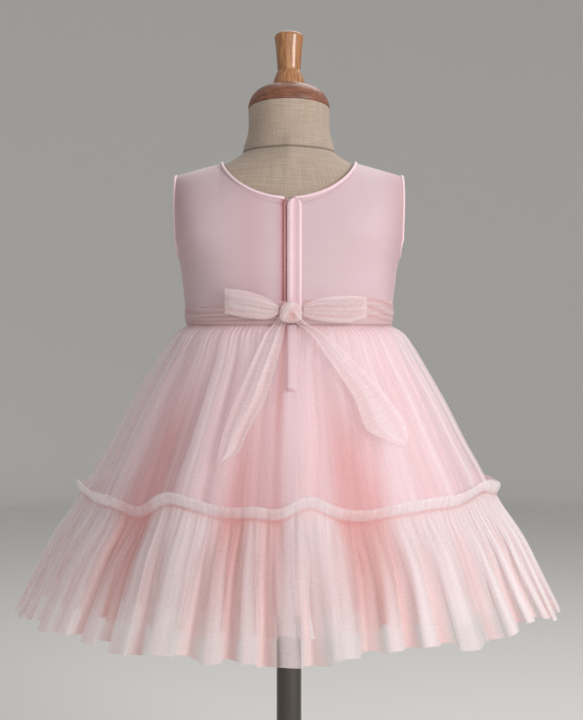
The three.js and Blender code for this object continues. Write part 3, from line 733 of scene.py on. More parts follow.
@dataclass(frozen=True)
class TurnedWood(Finish):
    """Beech or similar, turned, stained and varnished: grain lines under a clear gloss coat."""

    light: str
    dark: str
    grain_scale: tuple[float, float, float]
    coat: float = 0.6

    def surface(self, tree: Tree) -> Node:
        """Adds grain lines 1 to 3 mm apart, drawn at their real size, under a gloss coat.

        Args:
            tree: the material's empty node tree.

        Returns:
            The shader that ends them.
        """
        place = add_node(tree, "TexCoord").outputs["Object"]
        # The lines of the grain bend a little
        bend = add_node(tree, "TexNoise", {"Vector": place, "Scale": 18.0, "Detail": 2.0}).outputs["Color"]
        bent = add_node(
            tree, "VectorMath", {0: bend, 1: (0.02, 0.02, 0.02), 2: place}, operation="MULTIPLY_ADD"
        )
        grain = drawn_out_noise(tree, bent, self.grain_scale, 4.0, 0.6)
        tone = two_toned(tree, grain, (0.32, self.dark), (0.62, self.light))
        # Open pores show faintly through the coat
        bump = add_node(tree, "Bump", {"Height": grain, "Strength": 0.08, "Distance": 0.0004})
        return add_node(
            tree, "BsdfPrincipled",
            {"Base Color": tone, "Roughness": 0.5, "Coat Weight": self.coat, "Coat Roughness": 0.12,
             "Normal": bump},
        )


@dataclass(frozen=True)
class PolishedChrome(Finish):
    """Steel tube and plate, chrome plated: a dim mirror with faint polishing marks, its darker colour a
    painted dark reflection of surroundings that the studio lacks.
    """

    name: str = "chrome_with_painted_dark_reflection"
    # Darker than bright chrome: a painted dark reflection
    colour: str = "#5B5652"
    roughness: float = 0.14

    def surface(self, tree: Tree) -> Node:
        """Adds a mirror whose polishing marks run along the tube.

        Args:
            tree: the material's empty node tree.

        Returns:
            The shader that ends them.
        """
        place = add_node(tree, "TexCoord").outputs["Object"]
        marks = drawn_out_noise(tree, place, (900.0, 900.0, 25.0), 2.0)
        ends = {"To Min": self.roughness - 0.05, "To Max": self.roughness + 0.06}
        rough = add_node(tree, "MapRange", {"Value": marks, **ends})
        return add_node(
            tree, "BsdfPrincipled", {"Base Color": linear(self.colour), "Metallic": 1.0, "Roughness": rough}
        )


@dataclass(frozen=True)
class PlainPaint(Finish):
    """Matte painted surface of the studio's floor and wall."""

    colour: str

    def surface(self, tree: Tree) -> Node:
        """Adds one even matte colour.

        Args:
            tree: the material's empty node tree.

        Returns:
            The shader that ends them.
        """
        return add_node(tree, "BsdfPrincipled", {"Base Color": linear(self.colour), "Roughness": 0.85})


def made(finish: Finish) -> Material:
    """Field of a dataclass that makes the finish's material when an object of it is made."""
    return field(default_factory=finish.build)


@dataclass
class Finishes:
    """All materials of the dress and the stand, each made once."""

    # Each satin's third colour and each tulle's deep colour are the colours of painted shade
    bodice: Material = made(SatinCloth("bodice_satin", "#CCB4B9", "#C6ADB2", "#A05C5C", 0.62, Weave.PLAIN))
    lining: Material = made(SatinCloth("lining_satin", "#F6D8DB", "#F3D0D4", "#E6B4B4", 0.42, Weave.SATIN))
    binding: Material = made(SatinCloth("bias_satin", "#E9CED4", "#E3C5CB", "#C99DA2", 0.45, Weave.SATIN))
    # The zip tape's dark coral is partly its own colour and partly painted shade of the fold beside the lap
    zip_tape: Material = made(SatinCloth("zip_tape", "#C79092", "#B57E80", "#7E484A", 0.6, Weave.PLAIN))
    upper: Material = made(Tulle("upper_tulle", "#F7EFF2", "#E3A29E", 0.42, 0.55, 0.05))
    flounce: Material = made(Tulle("flounce_tulle", "#F6F0F1", "#E7AAA2", 0.42, 0.4, 0.05))
    net: Material = made(Tulle("underskirt_net", "#F7E4E8", "#F0CCCD", 0.24, 0.2, 0.07))
    sash: Material = made(Tulle("sash_tulle", "#F9EFF0", "#E9C0BC", 0.55, 0.1, 0.04))
    linen: Material = made(Linen())
    dark_wood: Material = made(TurnedWood("stained_beech", "#8E5A40", "#5F3829", (26.0, 300.0, 420.0), 0.15))
    light_wood: Material = made(TurnedWood("varnished_beech", "#B5804F", "#855030", (420.0, 420.0, 14.0)))
    chrome: Material = made(PolishedChrome())


# Shapes shared by the pieces


def table(kind: type, *rows: tuple[float, ...]) -> tuple:
    """Rows of a table, each an object of one kind whose fields are the table's columns."""
    return tuple(kind(*row) for row in rows)


@dataclass(frozen=True)
class Section:
    """Half width and half depth of a level section at a height, in millimetres."""

    z: float
    half_width: float
    half_depth: float
    power: float = 2.0


def section_curves(sections: Sequence[Section]) -> list[Curve]:
    """Curves of half width, half depth and superellipse power against height."""
    heights = [section.z for section in sections]
    return column_curves(heights, sections, "half_width", "half_depth", "power")


def plan_point(half_width: Array, half_depth: Array, power: Array, angle: Array) -> tuple[Array, ...]:
    """Point of a superellipse and its outward normal.

    The point's X is the half width times the sine to the power 2 over the exponent, and its Y
    the half depth times the cosine to that power, turned to the back.

    Args:
        half_width: half width of the superellipse.
        half_depth: half depth of the superellipse.
        power: its exponent.
        angle: angle from the centre back.

    Returns:
        X, Y, normal X and normal Y.
    """
    across = signed_power(np.sin(angle), 2 / power)
    back = signed_power(np.cos(angle), 2 / power)
    nx = signed_power(across, power - 1) / half_width
    ny = -signed_power(back, power - 1) / half_depth
    length = np.sqrt(nx**2 + ny**2)
    return half_width * across, -half_depth * back, nx / length, ny / length


@dataclass(frozen=True)
class BodyShape:
    """The worn body of the bodice, with cloth that arches over the shoulders."""

    sections: tuple[Section, ...] = table(
        Section, (607, 100.6, 77.3, 2.2), (642, 104.2, 79.2, 2.5), (672, 108.2, 80.0, 2.9),
        (690, 112.5, 80.0, 3.3),
    )
    waist_z: float = 607
    underarm_z: float = 672
    chest_z: float = 690
    neck_half_width: float = 66
    neck_z: float = 766
    neck_spread: float = 2.67
    shoulder_half_width: float = 111
    shoulder_z: float = 754
    armhole_depth: float = 38
    arch_half_width: float = 117
    arch_full_z: float = 736
    arch_power: float = 0.375
    ridge_rise: float = 0.55

    def section(self, z: Array) -> tuple[Array, Array, Array]:
        """Half width, half depth and power at a height."""
        width, depth, power = section_curves(self.sections)
        return width(z), depth(z), power(z)

    def ridge_height(self, x: Array) -> Array:
        """Height of the shoulder line, which rises more steeply inside the neck.

        Args:
            x: distance from the centre.

        Returns:
            Height.
        """
        inward = self.neck_half_width - x
        slope = (self.neck_z - self.shoulder_z) / (self.shoulder_half_width - self.neck_half_width)
        return self.neck_z + inward * np.where(inward > 0, self.ridge_rise, slope)

    def depth(
        self, x: Array, z: Array, side_inset: Array | float = 0.0, ridge_inset: float = 0.0
    ) -> Array:
        """Half depth at a distance from the centre and a height.

        A superellipse across, times one less the square of the share of the way up to the
        shoulder line, to the arch's power.

        Args:
            x: distance from the centre.
            z: height.
            side_inset: how far the side and the depth are drawn in.
            ridge_inset: how far the shoulder line is lowered.

        Returns:
            Half depth, nil outside the body.
        """
        half_width, half_depth, power = self.section(z)
        widened = lerp(half_width, self.arch_half_width, smoothstep(z, self.chest_z, self.arch_full_z))
        across = np.clip(x / (widened - side_inset), 0, 1)
        depth = (half_depth - side_inset) * (1 - across**power) ** (1 / power)
        up = np.clip((z - self.chest_z) / (self.ridge_height(x) - ridge_inset - self.chest_z), 0, 1)
        return depth * (1 - up * up) ** self.arch_power

    def side_angle(self, z: Array) -> Array:
        """Angle of a panel's side edge: the side seam, then the armhole.

        Args:
            z: height.

        Returns:
            Angle from the centre back, which falls along a quarter circle's curve in the armhole.
        """
        _, half_depth, power = self.section(z)
        up = np.clip((z - self.underarm_z) / (self.chest_z - self.underarm_z), 0, 1)
        edge = self.armhole_depth * np.sqrt(1 - (1 - up) ** 2)
        return np.arccos(np.clip(edge / half_depth, 0, 1) ** (power / 2))


@dataclass(frozen=True)
class Bump:
    """Bell-shaped bump at an angle, with its width, both in degrees."""

    angle: float
    width: float
    push: float = 0.0
    rise: float = 0.0


def bump_sum(rows: Sequence[Bump], column: str, angle: Array) -> Array:
    """Sum of bell curves round the dress.

    Args:
        rows: the bumps.
        column: which of their columns gives their height.
        angle: where it is taken.

    Returns:
        The sum at each angle.
    """
    total = np.zeros_like(np.asarray(angle, float))
    for row in rows:
        away = (angle - math.radians(row.angle) + math.pi) % TURN - math.pi
        total = total + getattr(row, column) * bell(away, 0, math.radians(row.width))
    return total


@dataclass(frozen=True)
class SkirtShape:
    """Large flutes, seam line and hem steps that all layers of the skirt share."""

    seam_z: float = 440
    flute_start_z: float = 604
    round_z: float = 570
    waist_z: float = 607
    waist_power: float = 2.2
    closing_x: float = -6.5
    closing_slant: float = 0.05
    closing_width: float = 4.2
    closing_foot_z: float = 470
    closing_top_z: float = 560
    upper: tuple[Section, ...] = table(
        Section, (420, 211, 193), (440, 201, 183), (462, 191, 172), (492, 174.5, 154),
        (527, 157, 135.5), (562, 137.5, 115.5), (587, 122.5, 100), (600, 112, 89.2),
        (606.7, 100.6, 77.3),
    )
    flounce: tuple[Section, ...] = table(
        Section, (330, 261, 241.5), (362, 247, 227), (400, 230, 210), (440, 205.3, 187.3),
        (451, 207.7, 189.7),
    )
    net: tuple[Section, ...] = table(
        Section, (343, 226, 206), (440, 184, 165), (492, 161.5, 141.5), (527, 145.5, 124),
        (562, 127.5, 105.5), (587, 114.5, 92), (600, 106, 83), (606.7, 98.9, 75.6),
    )
    lining: tuple[Section, ...] = table(
        Section, (356, 204, 186), (440, 170, 151), (492, 149, 129), (527, 134.5, 113),
        (562, 118.5, 96.5), (587, 107.5, 85), (600, 101, 78), (606.7, 97.4, 74.1),
    )
    flutes: tuple[Bump, ...] = table(
        Bump, (-75, 9, 4, 6), (-41, 7, -8, -9), (-31, 8, 5, 9), (-14, 5, -5, -3), (-3, 4, -4, -4),
        (5, 5, 5, 8), (18, 8, -6, -6), (39, 7, 4, 2), (63, 12, 4, 10), (98, 9, -5, 3), (121, 9, 5, 7),
        (141, 7, -7, -7), (160, 8, 5, 5), (181, 7, -6, -5), (203, 9, 5, 7), (226, 7, -7, -8),
        (248, 9, 5, 4), (266, 6, -4, -2),
    )
    hem_steps: tuple[Bump, ...] = table(
        Bump, (-62, 16, 0, 4), (-8, 12, 0, -5), (24, 9, 0, 5), (55, 14, 0, 9), (128, 16, 0, -4),
        (170, 14, 0, 5), (215, 16, 0, -5), (250, 10, 0, 5),
    )

    def push(self, angle: Array, z: Array) -> Array:
        """How far the flutes push the cloth out, growing down the skirt."""
        share = smoothstep(self.flute_start_z - np.asarray(z, float), 0, self.flute_start_z - self.seam_z)
        return bump_sum(self.flutes, "push", angle) * share

    def power(self, z: Array) -> Array:
        """Superellipse power, as square as the bodice at the waist and 2 lower down."""
        return lerp(2.0, self.waist_power, smoothstep(z, self.round_z, self.waist_z))

    def drifted(self, share: Array) -> Array:
        """Angle of a share round the dress, with folds drifting from even spacing."""
        even = TURN * share
        return even + np.sin(2 * even) * (0.05 + 0.04 * np.sin(even + 0.7) + 0.03 * np.sin(3 * even))

    def fold_size(self, angle: Array) -> Array:
        """Share of the full fold at an angle, less at the sides, where the cloth hangs smooth."""
        uneven = 0.78 + 0.14 * np.sin(5 * angle + 1.3) + 0.08 * np.sin(11 * angle)
        return uneven * (1 - 0.42 * np.sin(angle) ** 4)

    def closing(self, x: Array, y: Array, z: Array) -> Array:
        """Share of the painted shade of the fold where the back closes: a bell curve across a slanted line.

        Args:
            x: place across.
            y: place from front to back, where only the back is shaded.
            z: height, with the shade fading out down the skirt.

        Returns:
            Share from 0 to 1.
        """
        line = self.closing_x + self.closing_slant * (z - self.closing_top_z)
        fading = smoothstep(z, self.closing_foot_z, self.closing_top_z)
        return bell(x, line, self.closing_width) * (y < 0) * fading

    def outer_depth(self, x: Array, z: Array, lift: float) -> Array:
        """Depth of the upper skirt's crests on its back.

        Args:
            x: place across.
            z: height.
            lift: how far beyond the crests.

        Returns:
            Distance behind the middle.
        """
        width, depth, _ = section_curves(self.upper)
        fold = curve_through((440, 500, 556, 586, 600, 606.7), (4, 3.4, 2.7, 2.1, 1.5, 0))
        power = self.power(z)
        out = fold(z) + 0.55 + lift
        across = np.clip(np.abs(x) / (width(z) + out), 0, 1)
        push = self.push(np.arcsin(across ** (power / 2)) * np.sign(x), z)
        return (depth(z) + out + np.maximum(push, 0)) * (1 - across**power) ** (1 / power)


@dataclass(frozen=True)
class ClothRow:
    """One row of a gathered layer, from its top edge down.

    Attributes:
        down: share of the way down the cloth.
        z: height.
        out: extra distance outwards.
        fold: depth of the main folds.
        lean: how far their flanks lean over.
        mid: depth of the folds between them.
        fine: depth of the fine gathers.
        seam: share of the tier seam's rise.
        hem: share of the hem's steps.
        shade: how much the row is darkened, as painted shade under the band, along a stitched line and at
            the hem.
        hollow: how much painted shade the hollows between flutes take.
    """

    down: float
    z: float
    out: float
    fold: float
    lean: float
    mid: float
    fine: float
    seam: float = 0.0
    hem: float = 0.0
    shade: float = 0.0
    hollow: float = 1.0


@dataclass(frozen=True)
class GatheredLayer:
    """Gathered layer of the skirt, cut straight and drawn up along its top edge.

    Attributes:
        sections: its level sections without folds.
        table: its rows from the top edge down.
        folds: number of main folds.
        mid_folds: number of folds between them.
        gathers: number of fine gathers.
        flute: share of the shared flutes that it follows.
        width_m: length round the dress on its cloth, which scales the pattern.
        length_m: length down its cloth.
        rows: rows of points.
        columns_per_quarter: columns of points in a quarter of the ring.
        seed: picks its unevenness.
        sharpness: power that narrows its crests.
        phase: turns its folds against those of the other layers.
        ragged: how torn its hem is, in millimetres.
        parting: how much painted shade lies along the line where its back closes.
    """

    sections: tuple[Section, ...]
    table: tuple[ClothRow, ...]
    folds: int
    mid_folds: int
    gathers: int
    flute: float
    width_m: float
    length_m: float
    rows: int
    columns_per_quarter: int
    seed: int
    sharpness: float = 2.0
    phase: float = 0.0
    ragged: float = 0.0
    parting: float = 0.0

    def cloth(self, shape: SkirtShape, start: float, stop: float) -> tuple[Array, Array, dict[str, Array]]:
        """Surface of the layer between two quarter marks.

        A superellipse at each height, moved out by the flutes and by three sets of folds of
        falling size. A main fold is twice the cosine of half its phase to the sharpness, less
        one, so its crest is broad and its trough narrow. Its flanks lean by a sine of twice the
        phase, and whole groups of folds lean to one side.

        Args:
            shape: what all layers share.
            start: quarter mark where the piece starts.
            stop: quarter mark where it ends.

        Returns:
            Grid of points, place on the cloth, and the values that the material reads.
        """
        columns = round((stop - start) * self.columns_per_quarter) + 1
        share = np.linspace(start / 4, stop / 4, columns)[None, :]
        down = np.linspace(0, 1, self.rows)[:, None]
        points, painted_shade_and_stitching = self.surface(shape, share, down, 1.0)
        base, _ = self.surface(shape, share, down, 0.0)
        wide = np.linalg.norm(gradient(points, 1), axis=-1)
        plain = np.linalg.norm(gradient(base, 1), axis=-1)
        crowding = np.clip(wide / plain - 1, 0, 2)
        uv = np.stack(np.broadcast_arrays(share * self.width_m, down * self.length_m), axis=-1)
        return points, uv, {"crowding": crowding, "painted_shade_and_stitching": painted_shade_and_stitching * np.ones_like(crowding)}

    def surface(self, shape: SkirtShape, share: Array, down: Array, folded: float) -> tuple[Array, Array]:
        """Points of the layer.

        Args:
            shape: what all layers share.
            share: share round the dress.
            down: share down the cloth.
            folded: 1 with its folds, 0 without.

        Returns:
            Points, and the painted shade of each from 0 to 1: how deep it lies in a fold or in a hollow
            between flutes, its row's own shade, and the line where the back closes.
        """
        names = ("z", "out", "fold", "lean", "mid", "fine", "seam", "hem", "shade", "hollow")
        curves = column_curves([cloth_row.down for cloth_row in self.table], self.table, *names)
        row = {name: curve(down) for name, curve in zip(names, curves)}
        angle = shape.drifted(share)
        width, depth, _ = section_curves(self.sections)
        upper_width, upper_depth, _ = section_curves(shape.upper)
        rise = bump_sum(shape.flutes, "rise", angle)
        level, risen = np.asarray(shape.seam_z), shape.seam_z + rise
        flute = shape.push(angle, row["z"])
        push = flute * self.flute + row["out"]
        half_width = width(row["z"]) + push + row["seam"] * (upper_width(risen) - upper_width(level))
        half_depth = depth(row["z"]) + push + row["seam"] * (upper_depth(risen) - upper_depth(level))
        x, y, nx, ny = plan_point(half_width, half_depth, shape.power(row["z"]), angle)
        wander = smooth_noise(share, down, (36, 2), self.seed)
        own = smooth_noise(share, down * 0.3, (self.folds, 1), self.seed + 1)
        spacing = smooth_noise(share, down * 0.2, (26, 1), self.seed + 4)
        group = smooth_noise(share, down * 0.4, (15, 1), self.seed + 5)
        phase = TURN * self.folds * share + self.phase + self.folds / 22 * spacing + 0.6 * wander
        between = TURN * self.mid_folds * share + 1.8 * wander + 1.5 * spacing
        gather = TURN * self.gathers * share + 2.4 * smooth_noise(share, down, (60, 3), self.seed + 2)
        main = row["fold"] * shape.fold_size(angle) * (1 + 0.3 * own)
        crest = 2 * np.abs(np.cos(phase / 2)) ** self.sharpness - 1
        patchy = 0.55 + 0.45 * smooth_noise(share, down, (48, 2), self.seed + 6)
        fine = row["fine"] * patchy * np.cos(gather)
        disp = main * crest + row["mid"] * (0.7 + 0.3 * group) * np.cos(between) + fine
        lean = row["lean"] * (np.sin(2 * phase) + 0.9 * group * (1 + np.cos(phase)))
        lean = lean + 0.5 * row["mid"] * np.sin(2 * between + 0.6)
        disp, lean = disp * folded, lean * folded
        steps = np.tanh(3.4 * smooth_noise(share, down * 0, (88, 1), self.seed + 3))
        frays = smooth_noise(share, down * 0, (260, 1), self.seed + 7)
        edge = self.ragged * row["hem"] * (0.8 * steps + 0.35 * frays)
        z = row["z"] + row["seam"] * rise + row["hem"] * bump_sum(shape.hem_steps, "rise", angle) + edge
        points = stacked(x + nx * disp - ny * lean, y + ny * disp + nx * lean, z)
        # Painted shade: deeper in hollows between flutes and in folds, plus the row's own shade and the
        # back's closing line
        sunk = np.clip(-flute / 4.5, 0, 1) * row["hollow"]
        fold_depth = np.clip(0.5 - 0.5 * crest, 0, 1) ** 1.5 * np.clip(row["fold"] / 4, 0, 1)
        parting = self.parting * shape.closing(x, y, z)
        return points, np.clip(0.7 * sunk**1.3 + 0.36 * fold_depth + row["shade"] + parting, 0, 1)


# Dress


@dataclass
class Bodice:
    """Sleeveless bodice: a front and two backs, piping, zip lap and zip."""

    finishes: Finishes
    body: BodyShape = field(default_factory=BodyShape)
    back_neckline: tuple[float, float] = (41, 0.62)
    front_neckline: tuple[float, float] = (56, 0.55)
    neck_share: float = 8 / 11
    wall: float = 1.2
    piping: tuple[float, float] = (1.5, 1.3)
    piping_lift: float = 0.65
    lap_centre: float = 5.4
    lap_half_width: float = 7.1
    lap_top: float = 725.5
    lap_bottom: float = 622
    tape_centre: float = -3.3
    tape_half_width: float = 1.6
    tooth_pitch: float = 1.7
    tooth_half: tuple[float, float, float] = (0.9, 0.5, 0.5)
    sash_z: float = 612
    groove_x: float = -4.4
    groove_depth: float = 1.7
    drag: float = 0.55
    pucker: float = 0.32
    slack: float = 0.5

    def half_panel(self, neckline: tuple[float, float], columns: int = 89) -> Array:
        """Half panel from the centre line to the side, neckline row first, at the back right.

        Each column runs up the body to the chest line, and from there along the arch to the
        neckline, the neck point or the shoulder line.

        Args:
            neckline: its drop below the neck points, and its curve's exponent.
            columns: number of columns.

        Returns:
            Grid of points.
        """
        body = self.body
        drop, curve = neckline
        u = np.linspace(0, 1, columns)
        out = np.clip((u - self.neck_share) / (1 - self.neck_share), 0, 1)
        over = lerp(body.neck_half_width, body.shoulder_half_width, out)
        dropped = np.sin(QUARTER * np.clip(1 - u / self.neck_share, 0, 1)) ** body.neck_spread
        on_neck = u < self.neck_share
        top_x = np.where(on_neck, body.neck_half_width * np.sqrt(1 - dropped ** (1 / curve)), over)
        top_z = np.where(on_neck, body.neck_z - drop * dropped, body.ridge_height(over))
        low = np.concatenate([np.linspace(body.waist_z, body.underarm_z, 16),
                              np.linspace(body.underarm_z, body.chest_z, 10)[1:]])[:, None]
        half_width, half_depth, power = body.section(low)
        x, y, _, _ = plan_point(half_width, half_depth, power, body.side_angle(low) * u ** (power / 2))
        trunk = stacked(x, y, low)
        step = (1 - (1 - np.linspace(0, 1, 27)[1:]) ** 1.25)[:, None]
        inward = np.sqrt(np.clip(1 - u / self.neck_share, 0, 1))
        arch_x = lerp(trunk[-1, :, 0], top_x, step)
        arch_z = lerp(body.chest_z, top_z, lerp(np.sin(QUARTER * step), step, inward))
        arch = stacked(arch_x, -body.depth(arch_x, arch_z), arch_z)
        return np.concatenate([trunk, arch])[::-1]

    def panels(self) -> dict[str, Array]:
        """Makes the three panels.

        Returns:
            Their grids, rows from the top and columns with the angle.
        """
        back, front = self.half_panel(self.back_neckline), self.half_panel(self.front_neckline)
        mirror, turn = np.array([-1.0, 1.0, 1.0]), np.array([-1.0, -1.0, 1.0])
        right_half = (front * mirror)[:, ::-1] * turn
        left_half = front * turn
        return {
            "back_right": self.wrinkled(back),
            "back_left": self.wrinkled((back * mirror)[:, ::-1]),
            "front": self.wrinkled(np.concatenate([right_half, left_half[:, 1:]], axis=1)),
        }

    def wrinkled(self, grid: Array) -> Array:
        """Grid with the bodice's slight wrinkles, at the waist, beside the zip and under the arms.

        Args:
            grid: smooth grid.

        Returns:
            Grid moved along its normals by sines that fade away from those places, and drawn in
            along the zip's groove.
        """
        x, y, z = grid[..., 0], grid[..., 1], grid[..., 2]
        away, angle = np.abs(x), np.arctan2(x, -y)
        uneven = 2 * smooth_noise(angle / TURN + 1, z * 0, (14, 1), 5)
        drag = self.drag * bell(z, self.sash_z, 26) * np.sin(17 * angle + 0.05 * z + uneven)
        beside_zip = bell(away, 13, 9) * (y < 0) * smoothstep(z, self.sash_z, 640)
        uneven = 2.2 * smooth_noise(z / 160, z * 0, (9, 1), 8)
        pucker = self.pucker * beside_zip * np.sin(z / 3.1 + uneven)
        under_arm = bell(z, 668, 20) * bell(away, 96, 12)
        slack = self.slack * under_arm * np.sin((z + 0.6 * away) / 3.4)
        pushed = drag + pucker + slack - self.groove_depth * self.zip_groove(grid)
        return grid + outward(grid) * pushed[..., None]

    def zip_groove(self, grid: Array) -> Array:
        """Depth from 0 to 1 of the groove where the left back folds in under the lap."""
        x, y, z = grid[..., 0], grid[..., 1], grid[..., 2]
        return bell(x, self.groove_x, 2.9) * (y < 0) * smoothstep(z, self.sash_z, 630)

    def shading(self, grid: Array) -> Array:
        """Painted shade from 0 to 1, with the stitched edge of the neck facing.

        The sum of painted shade in the zip's groove and on the cloth near it, the stitched edge of
        the neck facing, painted shade at the waist under the band and at the sides, and a painted
        shaded band at the left of the back.

        Args:
            grid: grid of a panel, neckline row first.

        Returns:
            Shade at each point.
        """
        x, y, z = grid[..., 0], grid[..., 1], grid[..., 2]
        below = np.cumsum(np.linalg.norm(gradient(grid, 0), axis=-1), axis=0)
        # Painted shade in the zip's groove and beside it, at the waist under the band, at the sides and in a
        # band at the left of the back
        near_zip = 0.3 * bell(x, -6, 5) * (y < 0)
        on_neck = smoothstep(self.body.neck_half_width - 2 - np.abs(x[:1]), -4, 4)
        facing = 0.22 * bell(below, 6, 1.1) * on_neck
        waist = 0.125 * smoothstep(-z, -634, -614)
        side = 0.28 * smoothstep(np.abs(x), 82, 112)
        # Painted shaded band on the left of the back
        slack = 0.14 * bell(x, -38, 17) * (y < 0)
        return np.clip(0.8 * self.zip_groove(grid) + near_zip + facing + waist + side + slack, 0, 1)

    def seam_path(self, parts: Sequence[tuple[Array, Array]]) -> tuple[Array, Array]:
        """Edge path through several panels, with one point at each seam.

        Args:
            parts: edge and outward directions in each panel, in order.

        Returns:
            The path, and its outward directions.
        """
        path = np.concatenate([parts[0][0]] + [points[1:] for points, _ in parts[1:]])
        out = np.concatenate([parts[0][1]] + [normals[1:] for _, normals in parts[1:]])
        return path, unit(out)

    def piped(self, path: Array, out: Array, ring: bool) -> Grid:
        """Rounded piping carried along an edge of the cloth.

        Args:
            path: the edge.
            out: outward direction of the cloth at the edge.
            ring: True where the edge closes on itself.

        Returns:
            The piping's grid.
        """
        along = unit(gradient(path, 0, ring))
        beyond = unit(np.cross(out, along))
        square = unit(np.cross(along, beyond))
        centre = path + beyond * (self.piping[0] * 0.5) + square * self.piping_lift
        return carried(centre, beyond, square, rounded_strip(*self.piping, 14, 2.3), ring)

    def build(self) -> None:
        """Builds all pieces of the bodice."""
        panels = self.panels()
        normals = {place: outward(grid) for place, grid in panels.items()}
        for place, grid in panels.items():
            sheet = sheet_grid(grid)
            thing = Piece(f"satin_bodice_{place}", sheet, self.finishes.bodice, "bodice_cloth",
                          (f"bodice_{place}",), flat_uv(sheet), {"painted_shade_and_stitching": self.shading(grid)}).place()
            thickened(thing, self.wall)
        self.build_piping(panels, normals)
        self.build_zip(panels["back_right"][:, 0])

    @staticmethod
    def piping_uv(grid: Grid) -> Array:
        """Place on the piping's cloth: the sum of both level coordinates, and the height."""
        return np.stack([grid[0][:, 0] + grid[0][:, 1], grid[0][:, 2]], axis=-1) * MM

    def build_piping(self, panels: dict[str, Array], normals: dict[str, Array]) -> None:
        """Builds the neck and armhole piping.

        Args:
            panels: grids of the panels.
            normals: outward directions of each grid.
        """
        columns = panels["back_right"].shape[1]
        neck = round((columns - 1) * self.neck_share)
        half = columns - 1
        slices = {
            "back_right": slice(2, neck + 1),
            "front": slice(half - neck, half + neck + 1),
            "back_left": slice(half - neck, columns - 2),
        }
        path, out = self.seam_path([
            (panels[place][0, part], normals[place][0, part]) for place, part in slices.items()
        ])
        grid = self.piped(path, out, False)
        Piece("neck_piping", grid, self.finishes.binding, "binding", ("neck_binding",),
              self.piping_uv(grid)).place()
        under = panels["back_right"].shape[0] - 16
        for side in Side:
            back = "back_right" if side is Side.RIGHT else "back_left"
            back_column = -1 if side is Side.RIGHT else 0
            front_column = 0 if side is Side.RIGHT else -1
            down = (panels[back][: under + 1, back_column], normals[back][: under + 1, back_column])
            up = (panels["front"][: under + 1, front_column], normals["front"][: under + 1, front_column])
            first, second = (down, up) if side is Side.RIGHT else (up, down)
            path, out = self.seam_path([first, (second[0][::-1], second[1][::-1])])
            grid = self.piped(path[:-1], out[:-1], True)
            Piece(f"armhole_piping_{side.name.lower()}", grid, self.finishes.binding, "binding",
                  (f"armhole_binding_{side.name.lower()}",), self.piping_uv(grid)).place()

    def build_zip(self, centre: Array) -> None:
        """Builds the lap over the zip, the zip's tape beside it and the coil's teeth.

        Args:
            centre: the back's centre line, from the neckline down.
        """
        heights = centre[::-1, 2]
        depth = curve_through(heights, centre[::-1, 1])
        z = np.linspace(self.lap_top, self.lap_bottom, 64)
        foot = -self.body.depth(np.zeros_like(z), z)
        y = np.where(z > heights[-1], depth(heights[-1:]), np.where(z < heights[0], foot, depth(z)))
        line = stacked(np.zeros_like(z), y, z)
        across, out = strip_directions(line)
        near_top = np.clip((self.lap_top - z) / 7.0, 0, 1)
        width = self.lap_half_width * np.sqrt(np.maximum(1 - (1 - near_top) ** 2, 0.03))
        strip = rounded_strip(1.0, 0.7, 48)
        ridges = 0.8 * bell(strip[:, 0], -0.52, 0.3) + 0.7 * bell(strip[:, 0], 0.68, 0.2)
        strip[:, 1] += ridges * (strip[:, 1] > 0)
        # Painted shade in the dip between the lap's two ridges
        dip = np.clip(1 - ridges / 0.7, 0, 1) * 0.55
        profiles = strip[None] * np.stack([width, np.ones_like(width)], axis=-1)[:, None]
        path = line + across * self.lap_centre + out * 1.6
        ripple = 0.25 * smooth_noise(z / 200, z * 0, (21, 1), 3)
        grid = carried(path + out * ripple[:, None], across, out, profiles)
        painted_shade_and_stitching = np.concatenate([np.tile(dip, len(path)), [0, 0]])
        Piece("satin_zip_lap", grid, self.finishes.binding, "binding", ("zip_lap",), flat_uv(grid),
              {"painted_shade_and_stitching": painted_shade_and_stitching}).place()
        # The tape's dark coral is partly its own colour and partly painted shade of the fold beside the lap
        shown = z < self.lap_top - 3
        tape = carried(line[shown] + across[shown] * self.tape_centre + out[shown] * 0.1, across[shown],
                       out[shown], rounded_strip(self.tape_half_width, 0.3, 12))
        Piece("zip_tape", tape, self.finishes.zip_tape, "binding", (), flat_uv(tape)).place()
        # The coil's dark beads are partly painted shade of the gaps between the lap and the tape
        teeth_z = np.arange(self.lap_top - 4, self.lap_bottom + 6, -self.tooth_pitch)
        seats = stacked(self.tape_centre + 0.8, depth(teeth_z) - 0.5, teeth_z)
        teeth = beads(seats, self.tooth_half)
        Piece("zip_coil", teeth, self.finishes.zip_tape, "binding", (), flat_uv(teeth)).place()


def beads(seats: Array, half: tuple[float, float, float], around: int = 8, levels: int = 5) -> Grid:
    """Small closed ellipsoids, one at each seat.

    Args:
        seats: middle of each bead.
        half: half sizes along X, Y and Z.
        around: points round each bead.
        levels: rings in each bead.

    Returns:
        The grid of them all.
    """
    latitude = (np.arange(levels) + 0.5) / levels * math.pi
    angle = np.arange(around) / around * TURN
    ring = stacked(np.sin(latitude)[:, None] * np.sin(angle) * half[0],
                   -np.sin(latitude)[:, None] * np.cos(angle) * half[1],
                   np.cos(latitude)[:, None] * half[2] * np.ones(around))
    points, faces = closed_rings(ring)
    count = len(points)
    offsets = (np.arange(len(seats)) * count)[:, None, None]
    every = (seats[:, None] + points[None]).reshape(-1, 3)
    return every, [(group[None] + offsets).reshape(-1, group.shape[1]) for group in faces]


